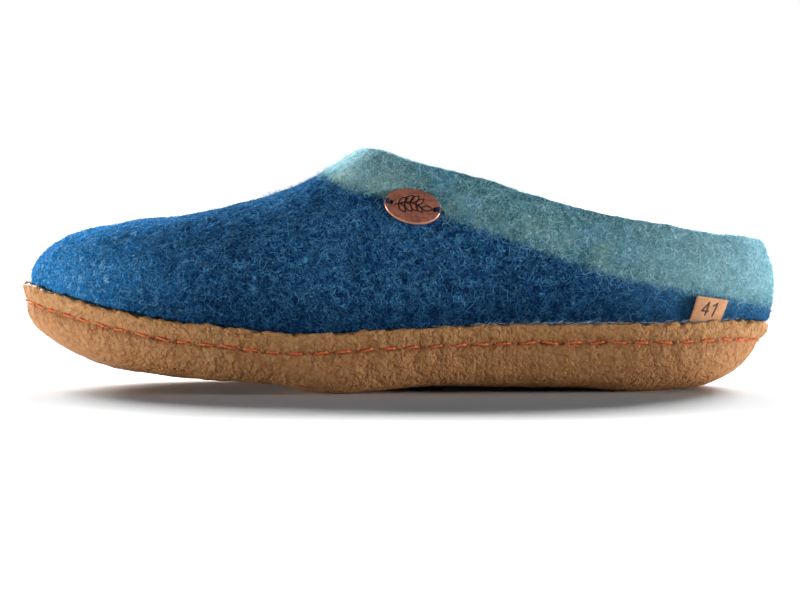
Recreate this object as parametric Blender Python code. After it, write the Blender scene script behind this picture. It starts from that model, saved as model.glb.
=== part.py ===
"""A felt house slipper for the left foot: a hand-felted mule in a cup of crepe rubber.

The model is in metres with +Z up. The toe points to -X, the heel to +X, and the outer side
of the foot faces -Y. The floor is z = 0, and the origin is under the middle of the slipper.

The maker's pieces are the felt upper, the rubber outsole that is drawn up round it, a loose
insole, an oval copper badge and a size tab. Every surface that follows the last is a net of
columns: one column for each station round the foot, from the heel by both sides to the toe.
"""

import math
from collections import namedtuple

import bpy
import numpy as np
from mathutils import Vector
from mathutils.bvhtree import BVHTree
from mathutils.geometry import delaunay_2d_cdt

# Driving dimensions of the slipper
LENGTH = 0.2808
BALL_WIDTH = 0.1035
THROAT_HEIGHT = 0.0894
BACK_HEIGHT = 0.0552
LIP_HEIGHT = 0.0250
TOE_SPRING = 0.0150
ARCH_RISE = 0.0024

# Thicknesses and the clearance between pieces
FELT = 0.0045
LIP_WALL = 0.0030
SOLE_FLOOR = 0.0050
INSOLE = 0.0080
GAP = 0.0003

# The outsole's stitched groove and rounded lip
BAND = 0.0068
GROOVE = 0.0011
LIP_ROUND = 0.0007

# The insole's raised edge
INSOLE_DISH = 0.0012

# The copper badge
BADGE_LENGTH = 0.0208
BADGE_WIDTH = 0.0148
BADGE_THICKNESS = 0.0009
BADGE_TILT = math.radians(12.5)
BADGE_HOLE = 0.0016
BADGE_HOLE_SPACING = 0.0172
BADGE_FROM_BACK = 0.1333
BADGE_HEIGHT = 0.0673
BADGE_SEAT = 0.0004

# The size tab
TAB_WIDTH = 0.0122
TAB_HEIGHT = 0.0098
TAB_SLANT = 0.0030
TAB_THICKNESS = 0.0011
TAB_FROM_BACK = 0.0245
TAB_LIFT = 0.0014

# Numbers of columns and rows in the nets
BACK_STATIONS = 20
FRONT_STATIONS = 17
WALL_ROWS = 11
FLOOR_RINGS = (0.45, 0.8)
RIM_STEPS = 3
EASING = 4

# What a turn of one radian counts for when stations are spread along a line
TURN_WEIGHT = 0.028

# Where the throat and the ends of the spine lie, as shares of the length from the heel
THROAT_ALONG = 0.549
THROAT_FOOT_ALONG = 0.625
TOE_POLE_ALONG = 0.880
HEEL_POLE_ALONG = 0.130
TOE_EASE_ALONG = 0.740
HEEL_EASE_ALONG = 0.230

Plan = namedtuple("Plan", "along outer inner")
Level = namedtuple("Level", "along height spring")
Rise = namedtuple("Rise", "along arch spring")
Wall = namedtuple("Wall", "down side toe heel groove")
Collar = namedtuple("Collar", "along outer inner")
Topline = namedtuple("Topline", "along climb")
Ridge = namedtuple("Ridge", "along height across")
Column = namedtuple("Column", "along bulge rise reach lean")

# The lip's outline from above. Half widths are shares of the ball width.
PLAN = (
    Plan(0.000, 0.000, 0.000),
    Plan(0.035, 0.190, 0.185),
    Plan(0.110, 0.312, 0.300),
    Plan(0.230, 0.366, 0.345),
    Plan(0.370, 0.398, 0.338),
    Plan(0.490, 0.455, 0.382),
    Plan(0.600, 0.494, 0.458),
    Plan(0.700, 0.482, 0.502),
    Plan(0.800, 0.420, 0.490),
    Plan(0.890, 0.310, 0.420),
    Plan(0.960, 0.155, 0.295),
    Plan(1.000, -0.075, 0.075),
)

# The underside's outline, inside the rounded corner of the wall, as shares of the ball width.
TREAD = (
    Plan(0.107, 0.000, 0.000),
    Plan(0.121, 0.130, 0.125),
    Plan(0.160, 0.225, 0.212),
    Plan(0.230, 0.277, 0.257),
    Plan(0.370, 0.306, 0.247),
    Plan(0.490, 0.363, 0.290),
    Plan(0.600, 0.402, 0.366),
    Plan(0.700, 0.388, 0.408),
    Plan(0.780, 0.330, 0.385),
    Plan(0.840, 0.242, 0.318),
    Plan(0.882, 0.120, 0.205),
    Plan(0.896, -0.055, 0.055),
)

# The underside: how much of the arch's rise and of the toe spring is reached.
UNDERSIDE = (
    Rise(0.000, 0.00, 0.00),
    Rise(0.195, 0.00, 0.00),
    Rise(0.240, 0.50, 0.00),
    Rise(0.300, 0.70, 0.00),
    Rise(0.370, 0.85, 0.00),
    Rise(0.440, 1.00, 0.00),
    Rise(0.480, 0.90, 0.00),
    Rise(0.515, 0.45, 0.00),
    Rise(0.545, 0.00, 0.00),
    Rise(0.605, 0.00, 0.00),
    Rise(0.630, 0.00, 0.15),
    Rise(0.660, 0.00, 0.23),
    Rise(0.700, 0.00, 0.285),
    Rise(0.760, 0.00, 0.345),
    Rise(0.840, 0.00, 0.46),
    Rise(0.893, 0.00, 0.62),
    Rise(0.946, 0.00, 0.80),
    Rise(1.000, 0.00, 1.00),
)

# The lip's height: a share of its height at the heel, and of the toe spring on top.
LIP = (
    Level(0.000, 0.975, 0.00),
    Level(0.050, 1.040, 0.00),
    Level(0.160, 1.015, 0.00),
    Level(0.290, 1.020, 0.00),
    Level(0.395, 1.000, 0.00),
    Level(0.470, 0.970, 0.00),
    Level(0.520, 0.950, 0.00),
    Level(0.572, 0.904, 0.00),
    Level(0.622, 0.890, 0.00),
    Level(0.672, 0.880, 0.08),
    Level(0.725, 0.890, 0.18),
    Level(0.775, 0.890, 0.26),
    Level(0.829, 0.890, 0.42),
    Level(0.882, 0.890, 0.62),
    Level(0.939, 0.890, 0.86),
    Level(1.000, 0.890, 1.14),
)

# The cup's outer wall, from the lip down to the tread: how far it has come in towards the
# tread's edge at the side, the toe and the heel, and where the stitched groove lies.
WALL = (
    Wall(0.00, 0.00, 0.000, 0.000, 0.0),
    Wall(0.17, 0.02, 0.020, 0.055, 0.0),
    Wall(0.27, 0.03, 0.025, 0.090, 1.0),
    Wall(0.37, 0.00, 0.050, 0.160, 0.2),
    Wall(0.52, 0.00, 0.100, 0.255, 0.0),
    Wall(0.66, 0.05, 0.190, 0.375, 0.0),
    Wall(0.80, 0.19, 0.360, 0.540, 0.0),
    Wall(0.92, 0.49, 0.660, 0.730, 0.0),
    Wall(1.00, 1.00, 1.000, 1.000, 0.0),
)
INNER_DOWN = (0.0, 0.30, 0.58, 0.76, 0.89, 1.0)

# The collar's opening from above, at the felt's outer face, as shares of the ball width.
COLLAR = (
    Collar(0.0090, 0.000, 0.000),
    Collar(0.0240, 0.116, 0.112),
    Collar(0.0640, 0.208, 0.198),
    Collar(0.1450, 0.272, 0.260),
    Collar(0.2500, 0.291, 0.278),
    Collar(0.3600, 0.280, 0.274),
    Collar(0.4500, 0.240, 0.254),
    Collar(0.5050, 0.176, 0.202),
    Collar(0.5370, 0.090, 0.120),
    Collar(THROAT_ALONG, -0.015, 0.015),
)

# The top of the collar's rolled edge: how far it has climbed from the back to the throat.
TOPLINE = (
    Topline(0.009, -0.012),
    Topline(0.035, 0.038),
    Topline(0.066, 0.060),
    Topline(0.119, 0.134),
    Topline(0.172, 0.226),
    Topline(0.226, 0.306),
    Topline(0.280, 0.426),
    Topline(0.333, 0.546),
    Topline(0.386, 0.684),
    Topline(0.440, 0.800),
    Topline(0.493, 0.921),
    Topline(0.514, 0.990),
    Topline(0.534, 1.014),
    Topline(THROAT_ALONG, 1.000),
)

# The vamp's top line: heights are shares of the throat's height, and the sideways places
# shares of the ball width, towards the inner side of the foot.
RIDGE = (
    Ridge(THROAT_ALONG, 0.996, 0.000),
    Ridge(0.5605, 0.975, 0.003),
    Ridge(0.573, 0.944, 0.006),
    Ridge(0.600, 0.881, 0.012),
    Ridge(0.627, 0.840, 0.018),
    Ridge(0.654, 0.810, 0.024),
    Ridge(0.707, 0.767, 0.030),
    Ridge(0.761, 0.730, 0.036),
    Ridge(0.841, 0.699, 0.040),
    Ridge(0.880, 0.680, 0.040),
)

# How the felt climbs from the lip to the collar or the ridge. The bulge is in metres, the
# rise and reach are shares of the climb, and the lean is the slope in degrees at its end.
COLUMNS = (
    Column(0.000, 0.0066, 0.20, 0.38, 50.0),
    Column(0.060, 0.0056, 0.26, 0.38, 56.0),
    Column(0.200, 0.0030, 0.36, 0.34, 66.0),
    Column(0.380, 0.0022, 0.44, 0.36, 63.0),
    Column(0.470, 0.0020, 0.52, 0.42, 50.0),
    Column(0.510, 0.0018, 0.56, 0.48, 35.0),
    Column(THROAT_ALONG, 0.0016, 0.60, 0.52, 12.0),
    Column(0.640, 0.0014, 0.62, 0.54, 0.0),
    Column(0.760, 0.0012, 0.59, 0.54, 0.0),
    Column(0.880, 0.0010, 0.56, 0.56, 0.0),
    Column(1.000, 0.0006, 0.50, 0.58, 0.0),
)


def reader(table):
    """A function that gives a column of a table at any place, by a monotone cubic."""
    places = np.array([row[0] for row in table])
    order = np.argsort(places)
    places = places[order]

    def read(column, at):
        values = np.array([getattr(row, column) for row in table])[order]
        steps = np.diff(places)
        rates = np.diff(values) / steps
        slopes = np.zeros(len(values))
        slopes[0], slopes[-1] = rates[0], rates[-1]
        for i in range(1, len(values) - 1):
            if rates[i - 1] * rates[i] > 0:
                before = 2 * steps[i] + steps[i - 1]
                after = steps[i] + 2 * steps[i - 1]
                slopes[i] = (before + after) / (before / rates[i - 1] + after / rates[i])
        at = float(np.clip(at, places[0], places[-1]))
        i = int(np.clip(np.searchsorted(places, at) - 1, 0, len(steps) - 1))
        t = (at - places[i]) / steps[i]
        return float(
            values[i] * (1 + 2 * t) * (1 - t) ** 2
            + slopes[i] * steps[i] * t * (1 - t) ** 2
            + values[i + 1] * t * t * (3 - 2 * t)
            - slopes[i + 1] * steps[i] * t * t * (1 - t)
        )

    return read


read_underside = reader(UNDERSIDE)
read_lip = reader(LIP)
read_wall = reader(WALL)
read_topline = reader(TOPLINE)
read_ridge = reader(RIDGE)
read_column = reader(COLUMNS)


def x_at(along):
    """The place along X of a share of the length, counted from the heel."""
    return (0.5 - along) * LENGTH


def along_at(x):
    """The share of the length, counted from the heel, of a place along X."""
    return 0.5 - x / LENGTH


def underside(x):
    """The height of the outsole's underside."""
    at = along_at(x)
    return read_underside("arch", at) * ARCH_RISE + read_underside("spring", at) * TOE_SPRING


def lip_height(x):
    """The height of the outsole's lip."""
    at = along_at(x)
    return read_lip("height", at) * LIP_HEIGHT + read_lip("spring", at) * TOE_SPRING


def topline_height(x):
    """The height of the top of the collar's edge."""
    climb = read_topline("climb", along_at(x))
    return BACK_HEIGHT + climb * (THROAT_HEIGHT - BACK_HEIGHT)


def unit(vector):
    return vector / np.linalg.norm(vector)


def closed_curve(points, samples=1600):
    """A smooth closed curve through the points, as a polyline, with the index of each point."""
    points = np.array(points, float)
    count = len(points)
    chords = np.linalg.norm(np.roll(points, -1, axis=0) - points, axis=1)
    system = np.zeros((count, count))
    bends = np.zeros_like(points)
    for i in range(count):
        after = (i + 1) % count
        system[i, i - 1] += chords[i - 1]
        system[i, i] += 2 * (chords[i - 1] + chords[i])
        system[i, after] += chords[i]
        leaving = (points[after] - points[i]) / chords[i]
        arriving = (points[i] - points[i - 1]) / chords[i - 1]
        bends[i] = 6 * (leaving - arriving)
    second = np.linalg.solve(system, bends)
    line, marks = [], []
    each = samples // count
    for i in range(count):
        after = (i + 1) % count
        marks.append(len(line))
        h = chords[i]
        for t in np.arange(each) / each * h:
            r = h - t
            line.append(
                (second[i] * r**3 + second[after] * t**3) / (6 * h)
                + (points[i] / h - second[i] * h / 6) * r
                + (points[after] / h - second[after] * h / 6) * t
            )
    return np.array(line), marks


def measure(line):
    """Distance along a polyline, with its turning counted in, so that bends get more points."""
    steps = np.diff(line, axis=0)
    lengths = np.linalg.norm(steps, axis=1)
    heading = np.unwrap(np.arctan2(steps[:, 1], steps[:, 0]))
    turns = np.abs(np.gradient(heading))
    return np.concatenate([[0], np.cumsum(lengths + turns * TURN_WEIGHT)])


def spread(line, count, start=0.0, end=1.0):
    """Points at equal steps of measure along a polyline, from one share of it to another."""
    measured = measure(line)
    at = np.linspace(start, end, count + 1) * measured[-1]
    return np.stack([np.interp(at, measured, line[:, k]) for k in range(line.shape[1])], axis=1)


def sides_of(table):
    """The outer and the inner half of an outline, each as a polyline that starts at the heel."""
    outer = [(x_at(row.along), -row.outer * BALL_WIDTH) for row in table]
    inner = [(x_at(row.along), row.inner * BALL_WIDTH) for row in table[1:-1]]
    line, marks = closed_curve(outer + inner[::-1])
    turn = marks[len(table) - 1]
    return line[: turn + 1], np.concatenate([line[:1], line[: turn - 1 : -1]])


def split_at(line, x):
    """The share of a heel-to-toe polyline's measure at which it passes a place along X."""
    measured = measure(line)
    return measured[int(np.argmax(line[:, 0] < x))] / measured[-1]


STATIONS = BACK_STATIONS + FRONT_STATIONS
ROUND = 2 * STATIONS


def loop_of(outer, inner):
    """One loop of points: out along the outer side from heel to toe, back along the inner."""
    return np.concatenate([outer, inner[-2:0:-1]])


def station_of(j):
    """The station of a column, counted from the heel, whichever side it is on."""
    return j if j <= STATIONS else ROUND - j


def outline(table):
    """An outline in plan, one point for each column."""
    halves = []
    for line in sides_of(table):
        share = split_at(line, x_at(THROAT_FOOT_ALONG))
        back = spread(line, BACK_STATIONS, 0.0, share)
        front = spread(line, FRONT_STATIONS, share, 1.0)
        halves.append(np.concatenate([back, front[1:]]))
    return loop_of(*halves)


def spine_x(x):
    """Draws a place along X in towards the poles, where the columns of the ends fan out."""
    for ease, pole, end in (
        (x_at(TOE_EASE_ALONG), x_at(TOE_POLE_ALONG), x_at(1.0)),
        (x_at(HEEL_EASE_ALONG), x_at(HEEL_POLE_ALONG), x_at(0.0)),
    ):
        span, room = end - ease, pole - ease
        if (x - ease) * span > 0:
            share = min((x - ease) / span, 1.0)
            return ease + room * (1 - (1 - share) ** (span / room))
    return x


OUTLINE = outline(PLAN)
TREAD_EDGE = outline(TREAD)


def inward(loop):
    """The unit vectors in plan that point into a loop of columns."""
    along = np.roll(loop, -1, axis=0) - np.roll(loop, 1, axis=0)
    across = np.stack([along[:, 1], -along[:, 0]], axis=1)
    return across / np.linalg.norm(across, axis=1, keepdims=True)


INWARD = inward(OUTLINE)


def spine():
    """The middle line in plan that every floor closes on, one point for each column."""
    points = []
    for j in range(ROUND):
        i = station_of(j)
        a, b = OUTLINE[i], OUTLINE[-i % ROUND]
        points.append((spine_x((a[0] + b[0]) / 2), (a[1] + b[1]) / 2))
    return np.array(points)


SPINE = spine()


def came_in(j, down):
    """How far the wall has come in towards the tread, a share of the way down column j."""
    x = INWARD[j][0]
    end = "toe" if x > 0 else "heel"
    side = read_wall("side", down)
    return side + (read_wall(end, down) - side) * x * x


def cup_point(j, down, wall, floor):
    """A point of the cup's wall, this far in from its outer face and above its underside."""
    plan = OUTLINE[j] + (TREAD_EDGE[j] - OUTLINE[j]) * came_in(j, down) + INWARD[j] * wall
    top = lip_height(OUTLINE[j][0])
    low = underside(plan[0]) + floor
    return np.array([plan[0], plan[1], top + (low - top) * down])


def floor_rings(edge, floor):
    """Rings that carry a floor from its edge to the spine, at a height above the underside."""
    rings = []
    for share in (*FLOOR_RINGS, 1.0):
        plan = edge[:, :2] * (1 - share) + SPINE * share
        rings.append(np.array([(x, y, underside(x) + floor(share)) for x, y in plan]))
    return rings


def normals_of(rings):
    """A normal for each point of a net of rings, pointing away from the foot."""
    net = np.array(rings)
    along = np.roll(net, -1, axis=1) - np.roll(net, 1, axis=1)
    up = np.gradient(net, axis=0)
    normal = np.cross(along, up)
    return normal / np.linalg.norm(normal, axis=2, keepdims=True)


class Net:
    """Gathers rings of points into the faces of one closed mesh."""

    def __init__(self):
        self.points = []
        self.faces = []

    def ring(self, points, welded=()):
        """Adds a ring and gives its indices. A welded column shares its mirror's point."""
        indices = []
        for j, point in enumerate(points):
            if welded and j > STATIONS and station_of(j) in welded:
                indices.append(indices[station_of(j)])
                continue
            indices.append(len(self.points))
            self.points.append(tuple(point))
        return indices

    def bridge(self, lower, upper, turned=False):
        """Fills the strip between two rings. A turned quad splits on its other diagonal."""
        for j in range(len(lower)):
            k = (j + 1) % len(lower)
            corners = [lower[j], lower[k], upper[k], upper[j]]
            if turned:
                corners = corners[1:] + corners[:1]
            face = []
            for index in corners:
                if index not in face:
                    face.append(index)
            if len(face) > 2:
                self.faces.append(face)

    def bridge_all(self, rings, turned=False):
        for lower, upper in zip(rings, rings[1:]):
            self.bridge(lower, upper, turned)

    def solid(self, name, surface):
        """Makes the object, with its faces turned outwards."""
        mesh = bpy.data.meshes.new(name)
        mesh.from_pydata(self.points, [], self.faces)
        mesh.validate()
        turn_outwards(mesh)
        return finished(name, mesh, surface)


def turn_outwards(mesh):
    """Flips a closed mesh whose faces point inwards."""
    mesh.calc_loop_triangles()
    volume = 0.0
    for triangle in mesh.loop_triangles:
        a, b, c = (mesh.vertices[v].co for v in triangle.vertices)
        volume += a.dot(b.cross(c))
    if volume < 0:
        mesh.flip_normals()


def finished(name, mesh, surface):
    """Puts a mesh in the scene with its material, shaded smooth but for its sharp edges."""
    mesh.materials.append(surface)
    mesh.shade_smooth()
    mesh.set_sharp_from_angle(angle=math.radians(50))
    obj = bpy.data.objects.new(name, mesh)
    bpy.context.scene.collection.objects.link(obj)
    return obj


def material(name, colour, roughness, metallic=0.0):
    surface = bpy.data.materials.new(name)
    surface.use_nodes = True
    shader = surface.node_tree.nodes["Principled BSDF"]
    shader.inputs["Base Color"].default_value = (*colour, 1.0)
    shader.inputs["Roughness"].default_value = roughness
    shader.inputs["Metallic"].default_value = metallic
    return surface


def cup_outside():
    """Rings of the outsole's outer wall, from the lip's outer corner to the underside."""
    rings = []
    for row in WALL:
        ring = []
        for j in range(ROUND):
            top = lip_height(OUTLINE[j][0])
            depth = top - underside(OUTLINE[j][0])
            down = row.down
            if row.groove == 1.0:
                down = BAND / depth
            ring.append(cup_point(j, down, row.groove * GROOVE, 0.0))
        rings.append(np.array(ring))
    rings[0][:, 2] -= LIP_ROUND
    return rings


def cup_inside():
    """Rings of the outsole's inner wall, from the lip down to the floor."""
    rings = []
    for down in INNER_DOWN:
        rings.append(np.array([cup_point(j, down, LIP_WALL, SOLE_FLOOR) for j in range(ROUND)]))
    return rings


def outsole(surface):
    """The crepe rubber cup: lip, stitched groove, rounded wall, arch, toe spring and floor."""
    net = Net()
    outside, inside = cup_outside(), cup_inside()
    lip_outer = outside[0].copy()
    lip_outer[:, :2] += INWARD * LIP_ROUND
    lip_outer[:, 2] += LIP_ROUND
    lip_inner = inside[0].copy()
    lip_inner[:, :2] -= INWARD * LIP_ROUND
    wall_inner = inside[0].copy()
    wall_inner[:, 2] -= LIP_ROUND
    welded = range(1, STATIONS)
    under = floor_rings(outside[-1], lambda share: 0.0)
    floor = floor_rings(inside[-1], lambda share: SOLE_FLOOR)
    rings = [net.ring(r) for r in floor[-2::-1] + inside[:0:-1] + [wall_inner, lip_inner, lip_outer]]
    rings += [net.ring(r) for r in outside + under[:-1]]
    middle_floor = net.ring(floor[-1], welded)
    middle_under = net.ring(under[-1], welded)
    net.bridge_all([middle_floor, *rings, middle_under])
    return net.solid("outsole", surface)


def felt_in_cup():
    """Rings of the felt's outer face inside the cup, from its bottom edge to the lip."""
    inside = cup_inside()
    clear = np.array(inside) - normals_of(inside) * GAP * cup_side(inside)
    for ring, down in zip(clear, INNER_DOWN):
        if down == 1.0:
            ring[:, 2] = [underside(x) + SOLE_FLOOR + GAP for x in ring[:, 0]]
    return list(clear[::-1])


def cup_side(rings):
    """1 where the net's normals point out of the foot, and -1 where they point into it."""
    normal = normals_of(rings)[0, 0]
    return 1.0 if normal[0] > 0 else -1.0


def collar_loop():
    """The outer face's end at the collar, one point for each column behind the throat."""
    halves = []
    for line in sides_of(COLLAR):
        halves.append(spread(line, BACK_STATIONS))
    points = []
    for j in range(ROUND):
        i = station_of(j)
        if i > BACK_STATIONS:
            points.append(None)
            continue
        x, y = halves[0 if j <= STATIONS else 1][i]
        lean = math.radians(read_column("lean", along_at(x)))
        points.append(np.array([x, y, topline_height(x) - FELT / 2 * math.sin(lean)]))
    return points


def ridge_point(x, y):
    at = along_at(x)
    across = read_ridge("across", at) * BALL_WIDTH
    return np.array([x, y + across, read_ridge("height", at) * THROAT_HEIGHT])


def column_ends():
    """Where each column of the upper ends: on the collar, or on the vamp's ridge."""
    ends = collar_loop()
    throat = ends[BACK_STATIONS]
    foot, toe = SPINE[BACK_STATIONS], SPINE[STATIONS]
    for j in range(ROUND):
        i = station_of(j)
        if i < BACK_STATIONS:
            continue
        share = (SPINE[i][0] - foot[0]) / (toe[0] - foot[0])
        at = ridge_point(throat[0] + (toe[0] - throat[0]) * share, SPINE[i][1])
        at[1] += (throat[1] - foot[1]) * (1 - share) ** 2
        ends[j] = at
    return ends


def ridge_slope(x):
    """The rise of the vamp's ridge for each step towards the heel."""
    step = LENGTH * 0.01
    return (ridge_point(x + step, 0)[2] - ridge_point(x - step, 0)[2]) / (2 * step)


def climb(start, end, j):
    """The handles of one column, a cubic curve from the lip to its end."""
    at = along_at(OUTLINE[j][0])
    turned = min(max((along_at(end[0]) - 0.15) / 0.25, 0.0), 1.0)
    towards = unit(INWARD[j] * (1 - turned) + unit(end[:2] - start[:2]) * turned)
    reach = max(float((end[:2] - start[:2]) @ towards), 0.0)
    height = end[2] - start[2]
    out = -INWARD[j] * read_column("bulge", at)
    low = start + np.array([out[0], out[1], read_column("rise", at) * height])
    lean = math.radians(read_column("lean", along_at(end[0])))
    if station_of(j) >= BACK_STATIONS:
        lean = math.atan(max(ridge_slope(end[0]) * towards[0], 0.0))
    handle = read_column("reach", at) * math.hypot(reach, height * math.sin(lean))
    back = np.array([*(towards * math.cos(lean)), math.sin(lean)]) * handle
    return start, low, end - back, end


def felt_above_lip(start_ring):
    """Rings of the felt's outer face from the lip to the collar and the vamp's ridge."""
    ends = column_ends()
    columns = [climb(start_ring[j], ends[j], j) for j in range(ROUND)]
    rings = []
    for row in range(1, WALL_ROWS + 1):
        t = row / WALL_ROWS
        weights = ((1 - t) ** 3, 3 * t * (1 - t) ** 2, 3 * t * t * (1 - t), t**3)
        rings.append(
            np.array([sum(w * p for w, p in zip(weights, column)) for column in columns])
        )
    near = np.array([max(0.0, 1 - abs(station_of(j) - BACK_STATIONS) / 7) for j in range(ROUND)])
    for ring in rings[:-1]:
        for _ in range(EASING):
            between = (np.roll(ring, 1, axis=0) + np.roll(ring, -1, axis=0)) / 2
            ring += (between - ring) * near[:, None] / 2
    return rings


def vertex_normals(rings, welded_last):
    """Normals of a net whose last ring is welded over the vamp, by Blender's own averaging."""
    net = Net()
    indices = [net.ring(ring) for ring in rings[:-1]]
    indices.append(net.ring(rings[-1], welded_last))
    net.bridge_all(indices)
    mesh = bpy.data.meshes.new("scratch_net")
    mesh.from_pydata(net.points, [], net.faces)
    normals = np.array([tuple(n.vector) for n in mesh.vertex_normals])
    bpy.data.meshes.remove(mesh)
    found = normals[np.array(indices)]
    # The heel's middle column starts the ring, and its outer face looks along +X.
    middle = found[len(rings) // 2, 0]
    return found if middle[0] > 0 else -found


def felt_faces():
    """The felt's outer and inner faces as two nets of rings, with the column normals."""
    in_cup = felt_in_cup()
    outer = in_cup + felt_above_lip(in_cup[-1])
    over_vamp = range(BACK_STATIONS, STATIONS)
    normals = vertex_normals(outer, over_vamp)
    normals[0][:] = (0.0, 0.0, -1.0)
    collar = collar_columns()
    for _ in range(2):
        around = normals[-1][collar]
        around = np.roll(around, 1, axis=0) + 2 * around + np.roll(around, -1, axis=0)
        around /= np.linalg.norm(around, axis=1, keepdims=True)
        normals[-1][collar] = around
    normals[-1][-BACK_STATIONS] = normals[-1][BACK_STATIONS]
    inner = [ring - normal * FELT for ring, normal in zip(outer, normals)]
    return outer, inner, normals


def collar_columns():
    """The columns that end on the collar, in order round it from the throat."""
    return [j % ROUND for j in range(-BACK_STATIONS, BACK_STATIONS)]


def rim_rings(outer, inner):
    """Rings that round the felt's edge over at the collar, from the outer face to the inner."""
    middle = (outer + inner) / 2
    arm = outer - middle
    along = np.roll(outer, -1, axis=0) - np.roll(outer, 1, axis=0)
    over = np.cross(along, arm)
    over *= FELT / 2 / np.linalg.norm(over, axis=1, keepdims=True)
    if over[BACK_STATIONS, 2] < 0:
        over = -over
    angles = np.arange(1, RIM_STEPS + 1) * math.pi / (RIM_STEPS + 1)
    return [middle + arm * math.cos(a) + over * math.sin(a) for a in angles]


def upper(surface):
    """The felt body: one hollow wall, open at the collar and underneath, rolled at the edge."""
    outer, inner, _ = felt_faces()
    over_vamp = range(BACK_STATIONS, STATIONS)
    net = Net()
    outside = [net.ring(ring) for ring in outer[:-1]]
    outside.append(net.ring(outer[-1], over_vamp))
    inside = [net.ring(ring) for ring in inner[:-1]]
    inside.append(net.ring(inner[-1], over_vamp))
    net.bridge_all(outside)
    net.bridge_all(inside[::-1])
    net.bridge(inside[0], outside[0])
    collar = collar_columns()
    edge = [[outside[-1][j] for j in collar]]
    edge += [net.ring(ring) for ring in rim_rings(outer[-1][collar], inner[-1][collar])]
    edge.append([inside[-1][j] for j in collar])
    net.bridge_all(edge)
    return net.solid("upper", surface)


def insole_height(share):
    """The insole's top above the underside, a share of the way from its edge to the spine."""
    return SOLE_FLOOR + GAP + INSOLE + INSOLE_DISH * ((1 - share) ** 2)


def insole(surface):
    """The loose footbed: it fills the floor between the felt walls and dishes in the middle."""
    outer, inner, normals = felt_faces()
    walls = [ring - normal * GAP for ring, normal in zip(inner, normals)]
    foot = outer[0].copy()
    foot[:, :2] += INWARD * GAP
    shoulder = foot.copy()
    shoulder[:, 2] += FELT + GAP
    targets = [underside(x) + insole_height(0.0) for x in foot[:, 0]]
    tops = []
    for j in range(ROUND):
        column = np.array([ring[j] for ring in walls])
        first = int(np.argmax(column[:, 2] > targets[j]))
        a, b = column[first - 1], column[first]
        tops.append(a + (b - a) * (targets[j] - a[2]) / (b[2] - a[2]))
    tops = np.array(tops)
    net = Net()
    welded = range(1, STATIONS)
    under = floor_rings(foot, lambda share: SOLE_FLOOR + GAP)
    over = floor_rings(tops, insole_height)
    lower = [net.ring(ring) for ring in under[-2::-1] + [foot, shoulder]]
    edge = net.ring(tops)
    sides = []
    for ring in walls[1 : len(INNER_DOWN)]:
        indices = []
        for j in range(ROUND):
            below = sides[-1][j] if sides else lower[-1][j]
            if ring[j][2] > targets[j] - GAP:
                indices.append(edge[j])
            elif ring[j][2] < shoulder[j][2] + GAP:
                indices.append(below)
            else:
                indices.append(len(net.points))
                net.points.append(tuple(ring[j]))
        sides.append(indices)
    higher = [edge] + [net.ring(ring) for ring in over[:-1]]
    middle_under = net.ring(under[-1], welded)
    middle_over = net.ring(over[-1], welded)
    # The sides split on the same diagonals as the felt's inner face, which they follow.
    net.bridge_all([middle_under, *lower])
    net.bridge_all([lower[-1], *sides, edge], turned=True)
    net.bridge_all([*higher, middle_over])
    return net.solid("insole", surface)


def surface_of(obj):
    """A tree that finds points on an object's surface."""
    mesh = obj.data
    points = [v.co for v in mesh.vertices]
    return BVHTree.FromPolygons(points, [list(p.vertices) for p in mesh.polygons])


def lay_on(mesh, tree, centre, across, up, outward, seat):
    """Bends a flat plate on to a surface. Its own X, Y and Z run across, up and outward."""
    far = 0.05
    for vertex in mesh.vertices:
        u, v, w = vertex.co
        start = centre + across * u + up * v + outward * far
        hit = tree.ray_cast(start, -outward)[0]
        lift = seat(u, v) if callable(seat) else seat
        vertex.co = hit + outward * (lift + w)


def frame_on(tree, x, z):
    """A point on the outer side of the upper, with the directions across, up and outward."""
    hit, normal, _, _ = tree.ray_cast(Vector((x, -1.0, z)), Vector((0.0, 1.0, 0.0)))
    if normal.y > 0:
        normal = -normal
    across = Vector((0.0, 0.0, 1.0)).cross(-normal)
    across = -across.normalized() if across.x < 0 else across.normalized()
    up = across.cross(normal)
    up = -up if up.z < 0 else up
    return hit, across, up.normalized(), normal


def oval(length, width, count, centre=0.0):
    """Points round an oval that lies along the first axis."""
    angles = [n * 2 * math.pi / count for n in range(count)]
    return [(centre + length / 2 * math.cos(a), width / 2 * math.sin(a)) for a in angles]


def plate(name, edges, inside, thickness):
    """A flat plate. The first edge is its outline, the others are its holes."""
    points, lines = [], []
    for edge in edges:
        first = len(points)
        points += edge
        lines += [(first + n, first + (n + 1) % len(edge)) for n in range(len(edge))]
    flat = delaunay_2d_cdt([Vector(p) for p in points + inside], lines, [], 2, 1e-7)
    corners, triangles = flat[0], flat[2]
    layer = len(corners)
    seen = {(a, b) for t in triangles for a, b in zip(t, t[1:] + t[:1])}
    rims = [(a, b) for a, b in seen if (b, a) not in seen]
    faces = [[layer + v for v in t] for t in triangles]
    faces += [list(reversed(t)) for t in triangles]
    faces += [[a, b, layer + b, layer + a] for a, b in sorted(rims)]
    mesh = bpy.data.meshes.new(name)
    heights = (0.0, thickness)
    mesh.from_pydata([(c.x, c.y, w) for w in heights for c in corners], [], faces)
    return mesh


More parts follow.
